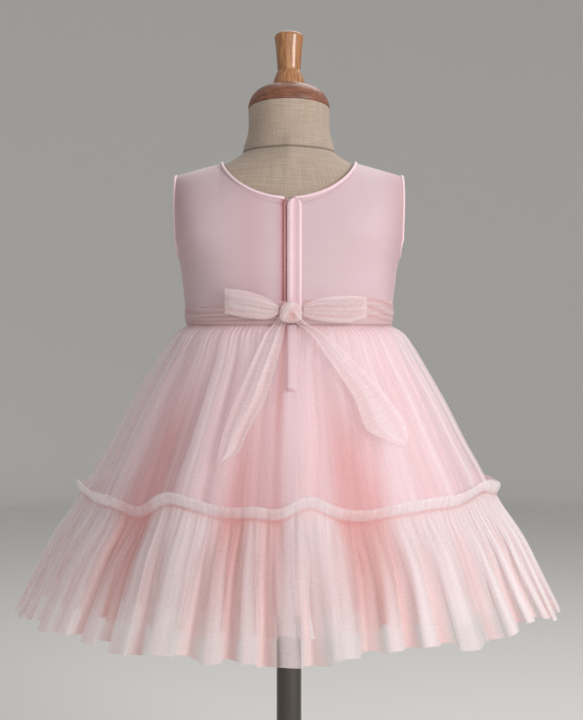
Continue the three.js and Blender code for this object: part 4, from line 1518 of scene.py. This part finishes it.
@dataclass
class Skirt:
    """Two-tier skirt: upper tulle, flounce with its heading, net underskirt and satin lining."""

    finishes: Finishes
    shape: SkirtShape = field(default_factory=SkirtShape)

    def upper_layer(self) -> GatheredLayer:
        """Upper tier, gathered into the waist seam."""
        return GatheredLayer(
            self.shape.upper,
            # The last two columns of its rows set painted shade: under the band at the top, and in the
            # hollows between flutes
            table(
                ClothRow,
                (0.0, 606.7, 0, 0.2, 0, 0.2, 0.3, 0, 0, 0.3, 0.4),
                (0.04, 600, 0, 0.8, 0.2, 0.5, 0.6, 0, 0, 0.1, 0.5),
                (0.12, 586, 0, 1.5, 0.4, 0.4, 0.2, 0, 0, 0, 0.7),
                (0.3, 556, 0, 2.5, 0.7, 0.35, 0.05, 0.1, 0, 0, 1.0),
                (0.64, 500, 0, 3.1, 0.9, 0.35, 0.03, 0.4),
                (1.0, 440, 0, 3.5, 0.9, 0.35, 0.03, 1.0),
            ),
            folds=26, mid_folds=62, gathers=148, flute=1.0, width_m=1.6, length_m=0.19, rows=72,
            columns_per_quarter=350, seed=11, sharpness=1.1, parting=0.75,
        )

    def flounce_layer(self) -> GatheredLayer:
        """Flounce, folded over at its top into a soft heading above the stitch line."""
        return GatheredLayer(
            self.shape.flounce,
            # The shade column darkens the stitched line, partly as painted shade of its groove, and the hem;
            # the hollow column sets painted shade between flutes
            table(
                ClothRow,
                (0.0, 441, -1.2, 0.4, 0, 0.2, 0.05, 1.0, 0, 0, 0.6),
                (0.04, 446, -0.6, 0.7, 0.1, 0.2, 0.05, 1.0, 0, 0, 0.6),
                (0.08, 451.2, 0.6, 0.8, 0.2, 0.2, 0.05, 1.0, 0, 0, 0.5),
                (0.12, 450, 2.2, 0.8, 0.2, 0.2, 0.05, 1.0, 0, 0, 0.4),
                (0.16, 445.5, 2.5, 0.6, 0.2, 0.2, 0.06, 1.0, 0, 0, 0.5),
                (0.19, 441.6, 1.5, 0.4, 0, 0.2, 0.1, 1.0, 0, 0, 0.8),
                (0.205, 439.8, 0.0, 0.3, 0, 0.2, 0.2, 1.0, 0, 0.6),
                (0.22, 438.2, 0.8, 0.5, 0, 0.4, 0.35, 1.0, 0, 0.25),
                (0.27, 430, 1.2, 1.6, 0.3, 0.7, 0.3, 0.9),
                (0.45, 402, 0, 4.4, 1.4, 0.5, 0.12, 0.5, 0, 0, 0.6),
                (0.72, 366, 0, 7.2, 2.6, 0.35, 0.06, 0.2, 0.3, 0.08, 0.3),
                (1.0, 330, 0, 9.2, 3.6, 0.3, 0.06, 0.0, 1.0, 0.2, 0.1),
            ),
            folds=46, mid_folds=118, gathers=260, flute=1.0, width_m=2.4, length_m=0.145, rows=72,
            columns_per_quarter=460, seed=23, sharpness=0.85, ragged=3.0,
        )

    def under_flounce_layer(self) -> GatheredLayer:
        """Second layer of the flounce, cut a little shorter, with folds of its own."""
        return GatheredLayer(
            self.shape.flounce,
            table(
                ClothRow,
                (0.0, 438, -1.0, 0.6, 0, 0.5, 0.3, 1.0),
                (0.3, 408, -6.0, 4.0, 1.2, 0.8, 0.2, 0.5),
                (0.7, 368, -13.0, 6.4, 2.0, 0.8, 0.1, 0.2, 0.3),
                (1.0, 346, -15.5, 8.0, 2.8, 0.8, 0.1, 0.0, 0.8),
            ),
            folds=50, mid_folds=104, gathers=240, flute=1.0, width_m=2.0, length_m=0.108, rows=48,
            columns_per_quarter=330, seed=37, sharpness=0.9, phase=1.9, ragged=3.0,
        )

    def net_layer(self) -> GatheredLayer:
        """Net underskirt that holds the skirt out."""
        return GatheredLayer(
            self.shape.net,
            table(
                ClothRow,
                (0.0, 606.7, 0, 0.1, 0, 0.1, 0.2),
                (0.05, 598, 0, 0.6, 0, 0.6, 0.5),
                (0.22, 550, 0, 1.6, 0.2, 1.4, 0.5),
                (0.6, 450, 0, 3.0, 0.4, 1.8, 0.4),
                (1.0, 343, 0, 5.0, 0.6, 2.0, 0.4, 0.0, 0.3),
            ),
            folds=28, mid_folds=60, gathers=120, flute=0.7, width_m=1.5, length_m=0.29, rows=72,
            columns_per_quarter=160, seed=41, ragged=1.5,
        )

    def lining_layer(self) -> GatheredLayer:
        """Satin lining, almost plain."""
        return GatheredLayer(
            self.shape.lining,
            table(
                ClothRow,
                (0.0, 606.7, 0, 0, 0, 0.1, 0.1),
                (0.05, 598, 0, 0.4, 0, 0.4, 0.3),
                (0.22, 550, 0, 1.0, 0, 0.9, 0.2),
                (0.6, 450, 0, 2.0, 0, 0.9, 0),
                (0.985, 359, 0, 3.4, 0, 0.8, 0),
                (1.0, 356, 0.3, 3.5, 0, 0.8, 0),
            ),
            folds=12, mid_folds=30, gathers=96, flute=0.35, width_m=1.25, length_m=0.27, rows=64,
            columns_per_quarter=120, seed=53,
        )

    def build_layer(
        self,
        layer: GatheredLayer,
        stem: str,
        node: str,
        places: Mapping[str, tuple[float, float]],
        material: Material,
        slot: str,
    ) -> None:
        """Builds the cut pieces of one layer.

        Args:
            layer: the layer.
            stem: start of the pieces' names.
            node: start of the CAD nodes' names, or nothing where they have none.
            places: end of each name, and its two quarter marks.
            material: its material.
            slot: its material slot.
        """
        for place, (start, stop) in places.items():
            points, uv, values = layer.cloth(self.shape, start, stop)
            nodes = (f"{node}_{place}",) if node else ()
            thing = Piece(f"{stem}_{place}", sheet_grid(points), material, slot, nodes, uv, values).place()

    def build(self) -> None:
        """Builds all layers, innermost first."""
        three = {"back_right": (0.0, 1.0), "front": (1.0, 3.0), "back_left": (3.0, 4.0)}
        halves = {"back": (-1.0, 1.0), "front": (1.0, 3.0)}
        corners = ("back_right", "front_right", "front_left", "back_left")
        quarters = {place: (float(start), start + 1.0) for start, place in enumerate(corners)}
        paint = self.finishes
        self.build_layer(self.lining_layer(), "satin_lining", "skirt_lining", three, paint.lining, "lining")
        self.build_layer(self.net_layer(), "net_layer", "net_underskirt", halves, paint.net, "tulle")
        self.build_layer(self.under_flounce_layer(), "under_flounce", "", quarters, paint.flounce, "tulle")
        self.build_layer(self.upper_layer(), "upper_tulle", "upper_skirt", three, paint.upper, "tulle")
        self.build_layer(self.flounce_layer(), "flounce_tulle", "flounce", quarters, paint.flounce, "tulle")


@dataclass(frozen=True)
class LoopStation:
    """Station of a bow loop: place across, and its lower and upper edge."""

    x: float
    low: float
    high: float


@dataclass(frozen=True)
class TailStation:
    """Station of a tail: place of its left edge and of its right edge."""

    left_x: float
    left_z: float
    right_x: float
    right_z: float


@dataclass
class Sash:
    """Tulle sash: the band round the waist, knot, two loops and two tails, and the placket."""

    finishes: Finishes
    body: BodyShape = field(default_factory=BodyShape)
    skirt: SkirtShape = field(default_factory=SkirtShape)
    bottom_z: float = 606.2
    top: tuple[tuple[float, float], ...] = (
        (-180, 630), (-90, 623.5), (-35, 625), (0, 629), (45, 634), (90, 626), (180, 630),
    )
    lift: float = 1.3
    knot_centre: tuple[float, float] = (2.0, 618.0)
    knot_half: tuple[float, float, float] = (11.8, 5.2, 10.4)
    knot_power: float = 2.3
    loop_spread: float = 3.2
    loop_clearance: float = 2.8
    band_out: float = 3.6
    placket_half_width: float = 4.4
    left_loop: tuple[LoopStation, ...] = table(
        LoopStation, (-9.8, 616.5, 625.5), (-17, 612.5, 630), (-34, 612.8, 636.5), (-49, 615, 639.5),
        (-60.5, 617.3, 641.4),
    )
    right_loop: tuple[LoopStation, ...] = table(
        LoopStation, (13.8, 614.5, 624), (22, 611.5, 629), (38, 609.5, 632), (57, 609, 633.6),
        (74, 613.5, 633),
    )
    left_tail: tuple[TailStation, ...] = table(
        TailStation, (-7.5, 617, 1.5, 616), (-14, 607.5, -2.6, 606.6), (-21, 600, -4.2, 600),
        (-25.4, 591, -5.8, 591), (-32.9, 574, -10.4, 574), (-40, 557, -15.5, 557),
        (-47.3, 540, -20.7, 540), (-53.7, 525, -28.6, 525), (-58.7, 510, -36.5, 510),
        (-62.4, 493, -44.3, 493), (-64.5, 482, -60.5, 484),
    )
    right_tail: tuple[TailStation, ...] = table(
        TailStation, (2.5, 614.5, 8.5, 617.5), (9, 606.6, 17.5, 608), (18, 600, 31, 600.6),
        (25, 592, 42, 592), (34, 579, 57, 577), (43.5, 565, 75, 558), (53, 550, 86, 546),
        (61, 536, 94, 535), (70, 513, 104, 520), (88, 503, 107, 506), (105, 496, 107.5, 498),
    )
    tail_lift: float = 4.2

    def ribbon(self, name: str, node: str, points: Array, ring: bool,
               painted_shade_and_stitching: Array, crowding: float = 0.0) -> None:
        """Builds one piece of the sash.

        Args:
            name: the piece's name.
            node: CAD node it stands for.
            points: its grid.
            ring: True where its columns close on themselves.
            painted_shade_and_stitching: painted shade at each point, deeper in its folds, from 0 to 1.
            crowding: how dense the net looks, below nil where it is sheerer.
        """
        rows, columns = points.shape[:2]
        along = np.cumsum(np.linalg.norm(gradient(points, 1), axis=-1), axis=1) * MM
        across = np.cumsum(np.linalg.norm(gradient(points, 0), axis=-1), axis=0) * MM
        values = {
            "painted_shade_and_stitching": np.clip(painted_shade_and_stitching, 0, 1) * np.ones((rows, columns)),
            "crowding": np.full((rows, columns), crowding),
        }
        wrap = (0.0, float(along.max()) if ring else 0.0)
        uv = np.stack([across, along], axis=-1)
        thing = Piece(name, sheet_grid(points, ring), self.finishes.sash, "sash_tulle", (node,), uv, values,
                      wrap).place()

    def build_band(self) -> None:
        """Builds the band: level rings between its two edges, with creases that wander round."""
        share = np.arange(420)[None, :] / 420
        degrees = 360 * share - 180
        angle = np.radians(degrees)
        top = curve_through(*zip(*self.top))(degrees)
        up = np.linspace(1, 0, 30)[:, None]
        z = lerp(self.bottom_z, top, up)
        half_width, half_depth, power = self.body.section(z)
        x, y, nx, ny = plan_point(half_width, half_depth, power, angle)
        wander = smooth_noise(share, up, (10, 2), 71)
        crease = 0.42 * np.cos(TURN * (3.1 * up + 0.9 * wander)) + 0.2 * np.cos(TURN * (6.3 * up - wander))
        middle = np.clip(np.sin(math.pi * up), 0, 1)
        out = self.lift + 1.1 * middle**0.6 + crease * middle**0.5
        points = stacked(x + nx * out, y + ny * out, z)
        # Painted shade over the band, deeper in its creases
        self.ribbon("sash_band_cloth", "sash_band", points, True,
                    0.55 - 0.7 * crease)

    def build_knot(self) -> None:
        """Builds the knot: a superellipsoid with two rolls that cross over a hollow with painted shade.

        The first roll goes from the upper right down to the left tail, the second from the upper
        left down to the right tail, each a bell curve across its own line.
        """
        latitude = (math.pi * (np.arange(56) + 0.5) / 56 - QUARTER)[:, None]
        angle = (TURN * np.arange(96) / 96)[None, :]
        power = self.knot_power
        half_width, half_depth, half_height = self.knot_half
        centre_x, centre_z = self.knot_centre
        level = signed_power(np.cos(latitude), 2 / power)
        across, _, _, _ = plan_point(level, level, power, angle)
        height = -signed_power(np.sin(latitude), 2 / power) + 0 * angle
        first = bell(across - 0.55 * height, -0.42, 0.3)
        second = bell(across + 0.75 * height, 0.35, 0.26) * smoothstep(0.45 - height, 0, 0.5)
        lines = 0.035 * np.cos(19 * (across - 0.55 * height)) * (0.3 + 0.7 * first)
        hollow = bell(across, 0.24, 0.38) * bell(height, -0.25, 0.5)
        swell = 0.9 + 0.13 * first + 0.11 * second - 0.13 * hollow * (1 - second) + lines
        x, y, _, _ = plan_point(half_width * level * swell, half_depth * level * swell, power, angle)
        band_y = float(self.body.depth(np.array(0.0), np.array(centre_z))) + self.band_out
        z = centre_z + half_height * height * (0.45 + 0.55 * swell)
        grid = closed_rings(stacked(x + centre_x, y - (band_y + half_depth + 0.4), z))
        # Painted shade in the hollow and off the two rolls
        painted_shade_and_stitching = 0.1 + 0.95 * hollow * (1 - 0.8 * second) + 0.25 * (1 - first) * (1 - second)
        every = np.concatenate([np.clip(painted_shade_and_stitching, 0, 1).ravel(), [0.5, 0.5]])
        thing = Piece("sash_knot", grid, self.finishes.sash, "sash_tulle", ("bow_knot",), flat_uv(grid),
                      {"painted_shade_and_stitching": every, "crowding": np.full(len(every), 2.0)}).place()

    def build_loop(self, side: Side) -> None:
        """Builds a loop: out from the knot, a soft turn, and back, with folds that fan out.

        Args:
            side: which loop.
        """
        stations = self.left_loop if side is Side.LEFT else self.right_loop
        reach = [abs(s.x) for s in stations]
        low, high = column_curves(reach, stations, "low", "high")
        t = np.linspace(0, 1, 90)[None, :]
        down = np.linspace(0, 1, 36)[:, None]
        away = 1 - np.abs(2 * t - 1)
        distance = lerp(reach[0], reach[-1], np.sin(QUARTER * away) ** 0.92)
        front = smoothstep(t, 0.34, 0.66)
        level = np.full_like(distance, self.knot_centre[1])
        bow = -self.body.depth(distance, level, -(self.band_out + self.loop_clearance))
        fan = np.cos(TURN * (2.4 * down + 0.35 * away + (0.2 if side is Side.LEFT else 0.6)))
        tight = np.cos(TURN * (4.6 * down - 0.4 * away)) * (1 - away)
        swell = 1.9 * np.sin(math.pi * down) * np.sin(math.pi * np.clip(away, 0, 1) * 0.8)
        fold = 0.45 * fan * (0.35 + 0.65 * away) + 0.55 * tight
        rounded = (2 * front - 1) * swell * (front > 0.5)
        y = bow - self.loop_spread * front - rounded - fold * (0.4 + 0.6 * front)
        z = lerp(high(distance), low(distance), down) + 0.5 * smooth_noise(t, down, (8, 3), 81)
        x = side.value * distance * np.ones_like(z)
        points = stacked(x, y * np.ones_like(z), z)
        if side is Side.RIGHT:
            points = points[:, ::-1]
            fold = fold[:, ::-1]
        name = side.name.lower()
        # Painted shade in the folds
        self.ribbon(f"sash_loop_{name}", f"bow_loop_{name}", points, False,
                    0.2 - 0.4 * fold, 0.0 if side is Side.LEFT else -2.0)

    def build_tail(self, side: Side) -> None:
        """Builds a tail: it lies on the skirt's crests, with folds along its length.

        Args:
            side: which tail.
        """
        stations = self.left_tail if side is Side.LEFT else self.right_tail
        knots = np.linspace(0, 1, len(stations))
        t = np.linspace(0, 1, 110)[:, None]
        u = np.linspace(0, 1, 34)[None, :]
        edges = column_curves(knots, stations, "left_x", "left_z", "right_x", "right_z")
        left_x, left_z, right_x, right_z = (edge(t) for edge in edges)
        waver = 0.8 * smooth_noise(t * 0.9, u, (9, 1), 91 if side is Side.LEFT else 97) * t
        x, z = lerp(left_x, right_x, u) + waver, lerp(left_z, right_z, u)
        narrow = bell(t, 0, 0.16)
        folds = 1.15 * np.cos(TURN * (1.6 * u + 0.25 * t + 0.1)) * (1 - 0.4 * t)
        folds = folds + 0.55 * np.cos(TURN * (3.7 * u - 0.5 * t)) * (0.4 + narrow)
        ridge = 1.5 * bell(u + 0.12 * t, 0.62, 0.09) * (1 - t) ** 0.5
        on_skirt = self.skirt.outer_depth(x, z, 0.0) + self.tail_lift + folds + ridge
        waist_depth = self.body.depth(np.abs(x), np.maximum(z, self.body.waist_z))
        on_band = waist_depth + self.band_out + 1.4 + 0.5 * folds
        y = -np.maximum(on_skirt, on_band)
        name = side.name.lower()
        # Painted shade in the folds
        self.ribbon(f"sash_tail_{name}", f"bow_tail_{name}", stacked(x, y, z), False,
                    0.15 - 0.2 * folds)

    def build_placket(self) -> None:
        """Builds the placket strip below the waist seam, with the bar of stitches that ends it."""
        z = np.linspace(606, 547, 40)
        x = np.full_like(z, 2.8)
        path = stacked(x, -self.skirt.outer_depth(x, z, 2.3), z)
        across, out = strip_directions(path)
        strip = rounded_strip(self.placket_half_width, 0.55, 40)
        place = strip[:, 0]
        grid = carried(path, across, out, strip)
        # Painted shade of the fold at the placket's left edge, fainter over the rest and towards its right
        # edge
        at_left = 0.6 * bell(place, -self.placket_half_width, 2.2)
        shade = 0.15 + at_left + 0.15 * smoothstep(place, 2, self.placket_half_width)
        painted_shade_and_stitching = np.concatenate([np.tile(shade, len(path)), [0, 0]])
        Piece("satin_placket", grid, self.finishes.binding, "binding", ("skirt_placket",), flat_uv(grid),
              {"painted_shade_and_stitching": painted_shade_and_stitching}).place()
        ends = np.linspace(-1.2, 4.2, 5)
        seats = stacked(ends, np.full(5, path[-2, 1] - 0.75), np.full(5, 548.2))
        bar = beads(seats, (0.8, 0.35, 0.4))
        Piece("placket_stitches", bar, self.finishes.zip_tape, "binding", (), flat_uv(bar)).place()

    def build(self) -> None:
        """Builds all pieces of the sash."""
        self.build_band()
        self.build_placket()
        for side in Side:
            self.build_tail(side)
            self.build_loop(side)
        self.build_knot()


# Dress form and stand


@dataclass
class DressForm:
    """Limbless dress form covered in linen, with a turned cap and finial on its neck."""

    finishes: Finishes
    body: BodyShape = field(default_factory=BodyShape)
    hips: tuple[Section, ...] = table(
        Section, (488, 86, 64), (506, 96.5, 73), (530, 100.5, 77), (560, 99.5, 76.5), (585, 96, 73),
        (607, 94, 70.7),
    )
    neck: tuple[Section, ...] = table(
        Section, (690, 30, 30), (758, 44, 43), (774, 46, 44), (783, 45, 43.5), (797, 41, 41),
        (821, 40.3, 40.3),
    )
    insets: tuple[float, float, float] = (6.6, 5.0, 2.2)
    plate: float = 107
    plate_blend: float = 24
    neck_blend: float = 14
    neck_seam_z: float = 777.8
    neck_seam_depth: float = 0.8
    mean_radius_m: float = 0.085
    tilt: float = math.radians(7)
    top_z: float = 821
    cap_profile: tuple[tuple[float, float], ...] = (
        (39.4, 0), (40.4, 0.5), (40.7, 1.6), (40.2, 4.8), (37.6, 11.4), (32.2, 17.4), (23.8, 21.4),
        (16.2, 22.6),
    )
    finial_profile: tuple[tuple[float, float], ...] = (
        (15.2, 0), (15.9, 0.9), (16, 2.5), (15.3, 6.8), (13.2, 12.6), (11.5, 16.2), (11.4, 17.2),
        (11.7, 18.9), (12.2, 27.3), (13.6, 43), (14.5, 50), (14.2, 52.3), (12.9, 53.8), (11.0, 54.1),
    )

    @staticmethod
    def reach(half_width: Array, half_depth: Array, power: float, angle: Array) -> Array:
        """Distance from the axis to a superellipse's edge.

        Args:
            half_width: half width of the superellipse.
            half_depth: half depth of the superellipse.
            power: its exponent.
            angle: direction, from the centre back.

        Returns:
            The distance.
        """
        across = np.abs(np.sin(angle)) / half_width
        back = np.abs(np.cos(angle)) / half_depth
        return (across**power + back**power) ** (-1 / power)

    def torso_reach(self, z: Array, angle: Array) -> Array:
        """Distance from the axis to the form's surface.

        Below the waist a superellipse. Above it the bodice's body drawn in, found by halving the
        interval 24 times, held within the shoulder plates and blended into the neck.

        Args:
            z: height.
            angle: angle from the centre back.

        Returns:
            Distance at each place.
        """
        waist_inset, chest_inset, ridge_inset = self.insets
        inset = lerp(waist_inset, chest_inset, smoothstep(z, self.body.waist_z, self.body.underarm_z))
        inside = np.zeros_like(z * angle)
        outside = np.full_like(inside, 2 * self.body.arch_half_width)
        for _ in range(24):
            radius = (inside + outside) / 2
            depth = self.body.depth(radius * np.abs(np.sin(angle)), z, inset, ridge_inset)
            within = radius * np.abs(np.cos(angle)) < depth
            inside, outside = np.where(within, radius, inside), np.where(within, outside, radius)
        chest = np.maximum(inside, 1)
        plate = self.plate / np.maximum(np.abs(np.sin(angle)), 0.1)
        body = (chest**-self.plate_blend + plate**-self.plate_blend) ** (-1 / self.plate_blend)
        neck_width, neck_depth, _ = section_curves(self.neck)
        neck = self.reach(neck_width(z), neck_depth(z), 2, angle)
        above = (body**self.neck_blend + neck**self.neck_blend) ** (1 / self.neck_blend)
        hip_width, hip_depth, _ = section_curves(self.hips)
        below = self.reach(hip_width(z), hip_depth(z), 2.2, angle)
        return np.where(z <= self.body.waist_z, below, above)

    def turned(self, profile: Sequence[tuple[float, float]], foot: float, segments: int = 72) -> Grid:
        """Turned piece on the tilted top of the neck.

        The profile is a smooth curve through its table against the share of its points, spun
        round its axis, tilted about X at the neck's top and closed at both ends.

        Args:
            profile: radius and height above the piece's foot.
            foot: height of the foot above the neck's top, along the tilted axis.
            segments: points round it.

        Returns:
            The grid.
        """
        knots = np.arange(len(profile))
        fine = np.linspace(len(profile) - 1, 0, 8 * len(profile))[:, None]
        radius, height = (curve_through(knots, column)(fine) for column in zip(*profile))
        x, y, level = np.moveaxis(revolved(radius, height + foot, segments), -1, 0)
        leaned_y = y * math.cos(self.tilt) + level * math.sin(self.tilt)
        z = -y * math.sin(self.tilt) + level * math.cos(self.tilt) + self.top_z
        return closed_rings(stacked(x, leaned_y, z))

    def build(self) -> None:
        """Builds the torso, the neck cap and the finial."""
        chest_z, foot_z = self.body.chest_z, self.hips[0].z
        upper_z, lower_z = np.linspace(self.top_z, chest_z, 120), np.linspace(chest_z, foot_z, 40)
        z = np.concatenate([upper_z, lower_z[1:]])[:, None]
        share = (np.arange(160) / 160)[None, :]
        angle = TURN * share + math.pi
        crowded = np.arctan2(np.sin(angle), 0.75 * np.cos(angle))
        seam_line = bell(z - 0.8 * np.cos(crowded), self.neck_seam_z, 0.9)
        radius = self.torso_reach(z, crowded) - self.neck_seam_depth * seam_line
        x, y = radius * np.sin(crowded), -radius * np.cos(crowded)
        leaned = z - y * math.tan(self.tilt) * smoothstep(z, 775, 815)
        grid = closed_rings(stacked(x, y, leaned))
        girth = TURN * self.mean_radius_m
        u = np.broadcast_to(girth * share, leaned.shape)
        uv = np.concatenate([np.stack([u, leaned * MM], axis=-1).reshape(-1, 2), [[0, 0], [0, 0]]])
        seam = np.concatenate([seam_line.ravel(), [0, 0]])
        Piece("linen_torso", grid, self.finishes.linen, "linen", ("form_torso",), uv, {"seam": seam},
              (girth, 0.0)).place()
        cap = self.turned(self.cap_profile, 0.3)
        Piece("turned_cap", cap, self.finishes.dark_wood, "dark_wood", ("neck_cap",)).place()
        finial = self.turned(self.finial_profile, 23.2)
        Piece("turned_finial", finial, self.finishes.light_wood, "light_wood", ("finial",)).place()


@dataclass
class Stand:
    """Round pole on a plain round base, both chrome plated."""

    finishes: Finishes
    pole_radius: float = 12.5
    pole_edge: float = 0.4
    base_profile: tuple[tuple[float, float], ...] = (
        (138.5, 0), (139.6, 0.4), (140, 1.5), (140, 5.5), (139.3, 7.0), (136.5, 8.4), (130, 9),
        (14.5, 9),
    )
    base_top: float = 9
    pole_top: float = 487.7

    @staticmethod
    def spun(profile: Sequence[tuple[float, float]], segments: int) -> Grid:
        """Profile spun round the Z axis, from its top row to its foot.

        Args:
            profile: radius and height, foot first.
            segments: points round it.

        Returns:
            The grid.
        """
        radius, height = (np.array(column)[::-1, None] for column in zip(*profile))
        return closed_rings(revolved(radius, height, segments))

    def build(self) -> None:
        """Builds the base and the pole."""
        base = self.spun(self.base_profile, 160)
        Piece("base_plate", base, self.finishes.chrome, "chrome_metal", ("base",)).place()
        low, high, radius = self.base_top + 0.3, self.pole_top, self.pole_radius
        eased = radius - self.pole_edge
        body = [(radius, z) for z in np.linspace(low + 1, high - 1, 12)]
        pole = self.spun([(eased, low), (radius, low + self.pole_edge), *body, (eased, high)], 96)
        Piece("chrome_pole", pole, self.finishes.chrome, "chrome_metal", ("pole",)).place()


# Studio


@dataclass
class Studio:
    """Pale floor and wall, soft lights, and the camera at the photo's viewing angle."""

    floor_colour: str = "#E4E1DD"
    flat_radius: float = 3300
    wall_radius: float = 4600
    wall_height: float = 2800
    eye: tuple[float, float, float] = (0.0025, -1.3, 0.597)
    lens_mm: float = 65.0
    down_tilt: float = math.atan(25 / 1300)

    def build_floor(self) -> None:
        """Builds one round sheet: a flat floor that curves up into a wall far from the object.

        The height is that of the wall times the square of the share of the way out from the flat
        part's edge.
        """
        inner = np.linspace(0.002, self.flat_radius, 12)
        outer = np.linspace(self.flat_radius, self.wall_radius, 30)[1:]
        run = np.concatenate([inner, outer])[:, None]
        share = np.clip((run - self.flat_radius) / (self.wall_radius - self.flat_radius), 0, 1)
        points, faces = sheet_grid(revolved(run, self.wall_height * share**2, 96), True)
        mesh = bpy.data.meshes.new("studio_floor")
        mesh.from_pydata((points * MM).tolist(), [], faces[0].tolist())
        mesh.polygons.foreach_set("use_smooth", np.ones(len(faces[0]), bool))
        mesh.materials.append(PlainPaint("matte_studio_paint", self.floor_colour).build())
        floor = bpy.data.objects.new("studio_floor", mesh)
        bpy.context.scene.collection.objects.link(floor)

    def add_light(self, name: str, place: tuple[float, float, float], aim: tuple[float, float, float],
                  size: float, power: float, colour: str = "#FFFFFF") -> None:
        """Adds a square area light that looks at a point.

        Args:
            name: the light's name.
            place: its place in metres.
            aim: the point it looks at.
            size: length of its side in metres.
            power: its power in watts.
            colour: its sRGB hex colour.
        """
        lamp = bpy.data.lights.new(name, "AREA")
        lamp.shape = "SQUARE"
        lamp.size = size
        lamp.energy = power
        lamp.color = linear(colour)[:3]
        thing = bpy.data.objects.new(name, lamp)
        thing.location = place
        direction = np.subtract(aim, place)
        yaw = math.atan2(-direction[0], direction[1])
        pitch = math.atan2(direction[2], math.hypot(direction[0], direction[1]))
        thing.rotation_euler = (QUARTER + pitch, 0.0, yaw)
        thing.visible_camera = False
        bpy.context.scene.collection.objects.link(thing)

    def build(self) -> None:
        """Builds the floor, lights, surroundings and camera."""
        self.build_floor()
        self.add_light("key", (1.45, -1.4, 1.2), (0.0, 0.0, 0.5), 0.8, 31.0, "#FCFAFB")
        self.add_light("front", (-0.2, -2.1, 0.95), (0.0, 0.0, 0.45), 1.5, 9.0)
        self.add_light("top", (0.3, 0.9, 2.1), (0.0, 0.0, 0.6), 1.2, 16.0)
        world = bpy.data.worlds.new("studio_air")
        world.use_nodes = True
        background = world.node_tree.nodes["Background"]
        background.inputs["Color"].default_value = linear("#E9ECEF")
        background.inputs["Strength"].default_value = 0.42
        bpy.context.scene.world = world
        bpy.context.scene.view_settings.view_transform = "Standard"
        camera = bpy.data.cameras.new("camera")
        camera.lens = self.lens_mm
        camera.sensor_width = 36.0
        camera.clip_end = 20.0
        eye = bpy.data.objects.new("camera", camera)
        eye.location = self.eye
        eye.rotation_euler = (QUARTER - self.down_tilt, 0.0, 0.0)
        bpy.context.scene.collection.objects.link(eye)
        bpy.context.scene.camera = eye


def main() -> None:
    """Builds the stand, the dress and the studio in order."""
    logging.basicConfig(level=logging.INFO, format="%(name)s %(message)s")
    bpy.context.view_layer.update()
    finishes = Finishes()
    Stand(finishes).build()
    DressForm(finishes).build()
    Skirt(finishes).build()
    Bodice(finishes).build()
    Sash(finishes).build()
    Studio().build()
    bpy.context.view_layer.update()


if __name__ == "__main__":
    main()
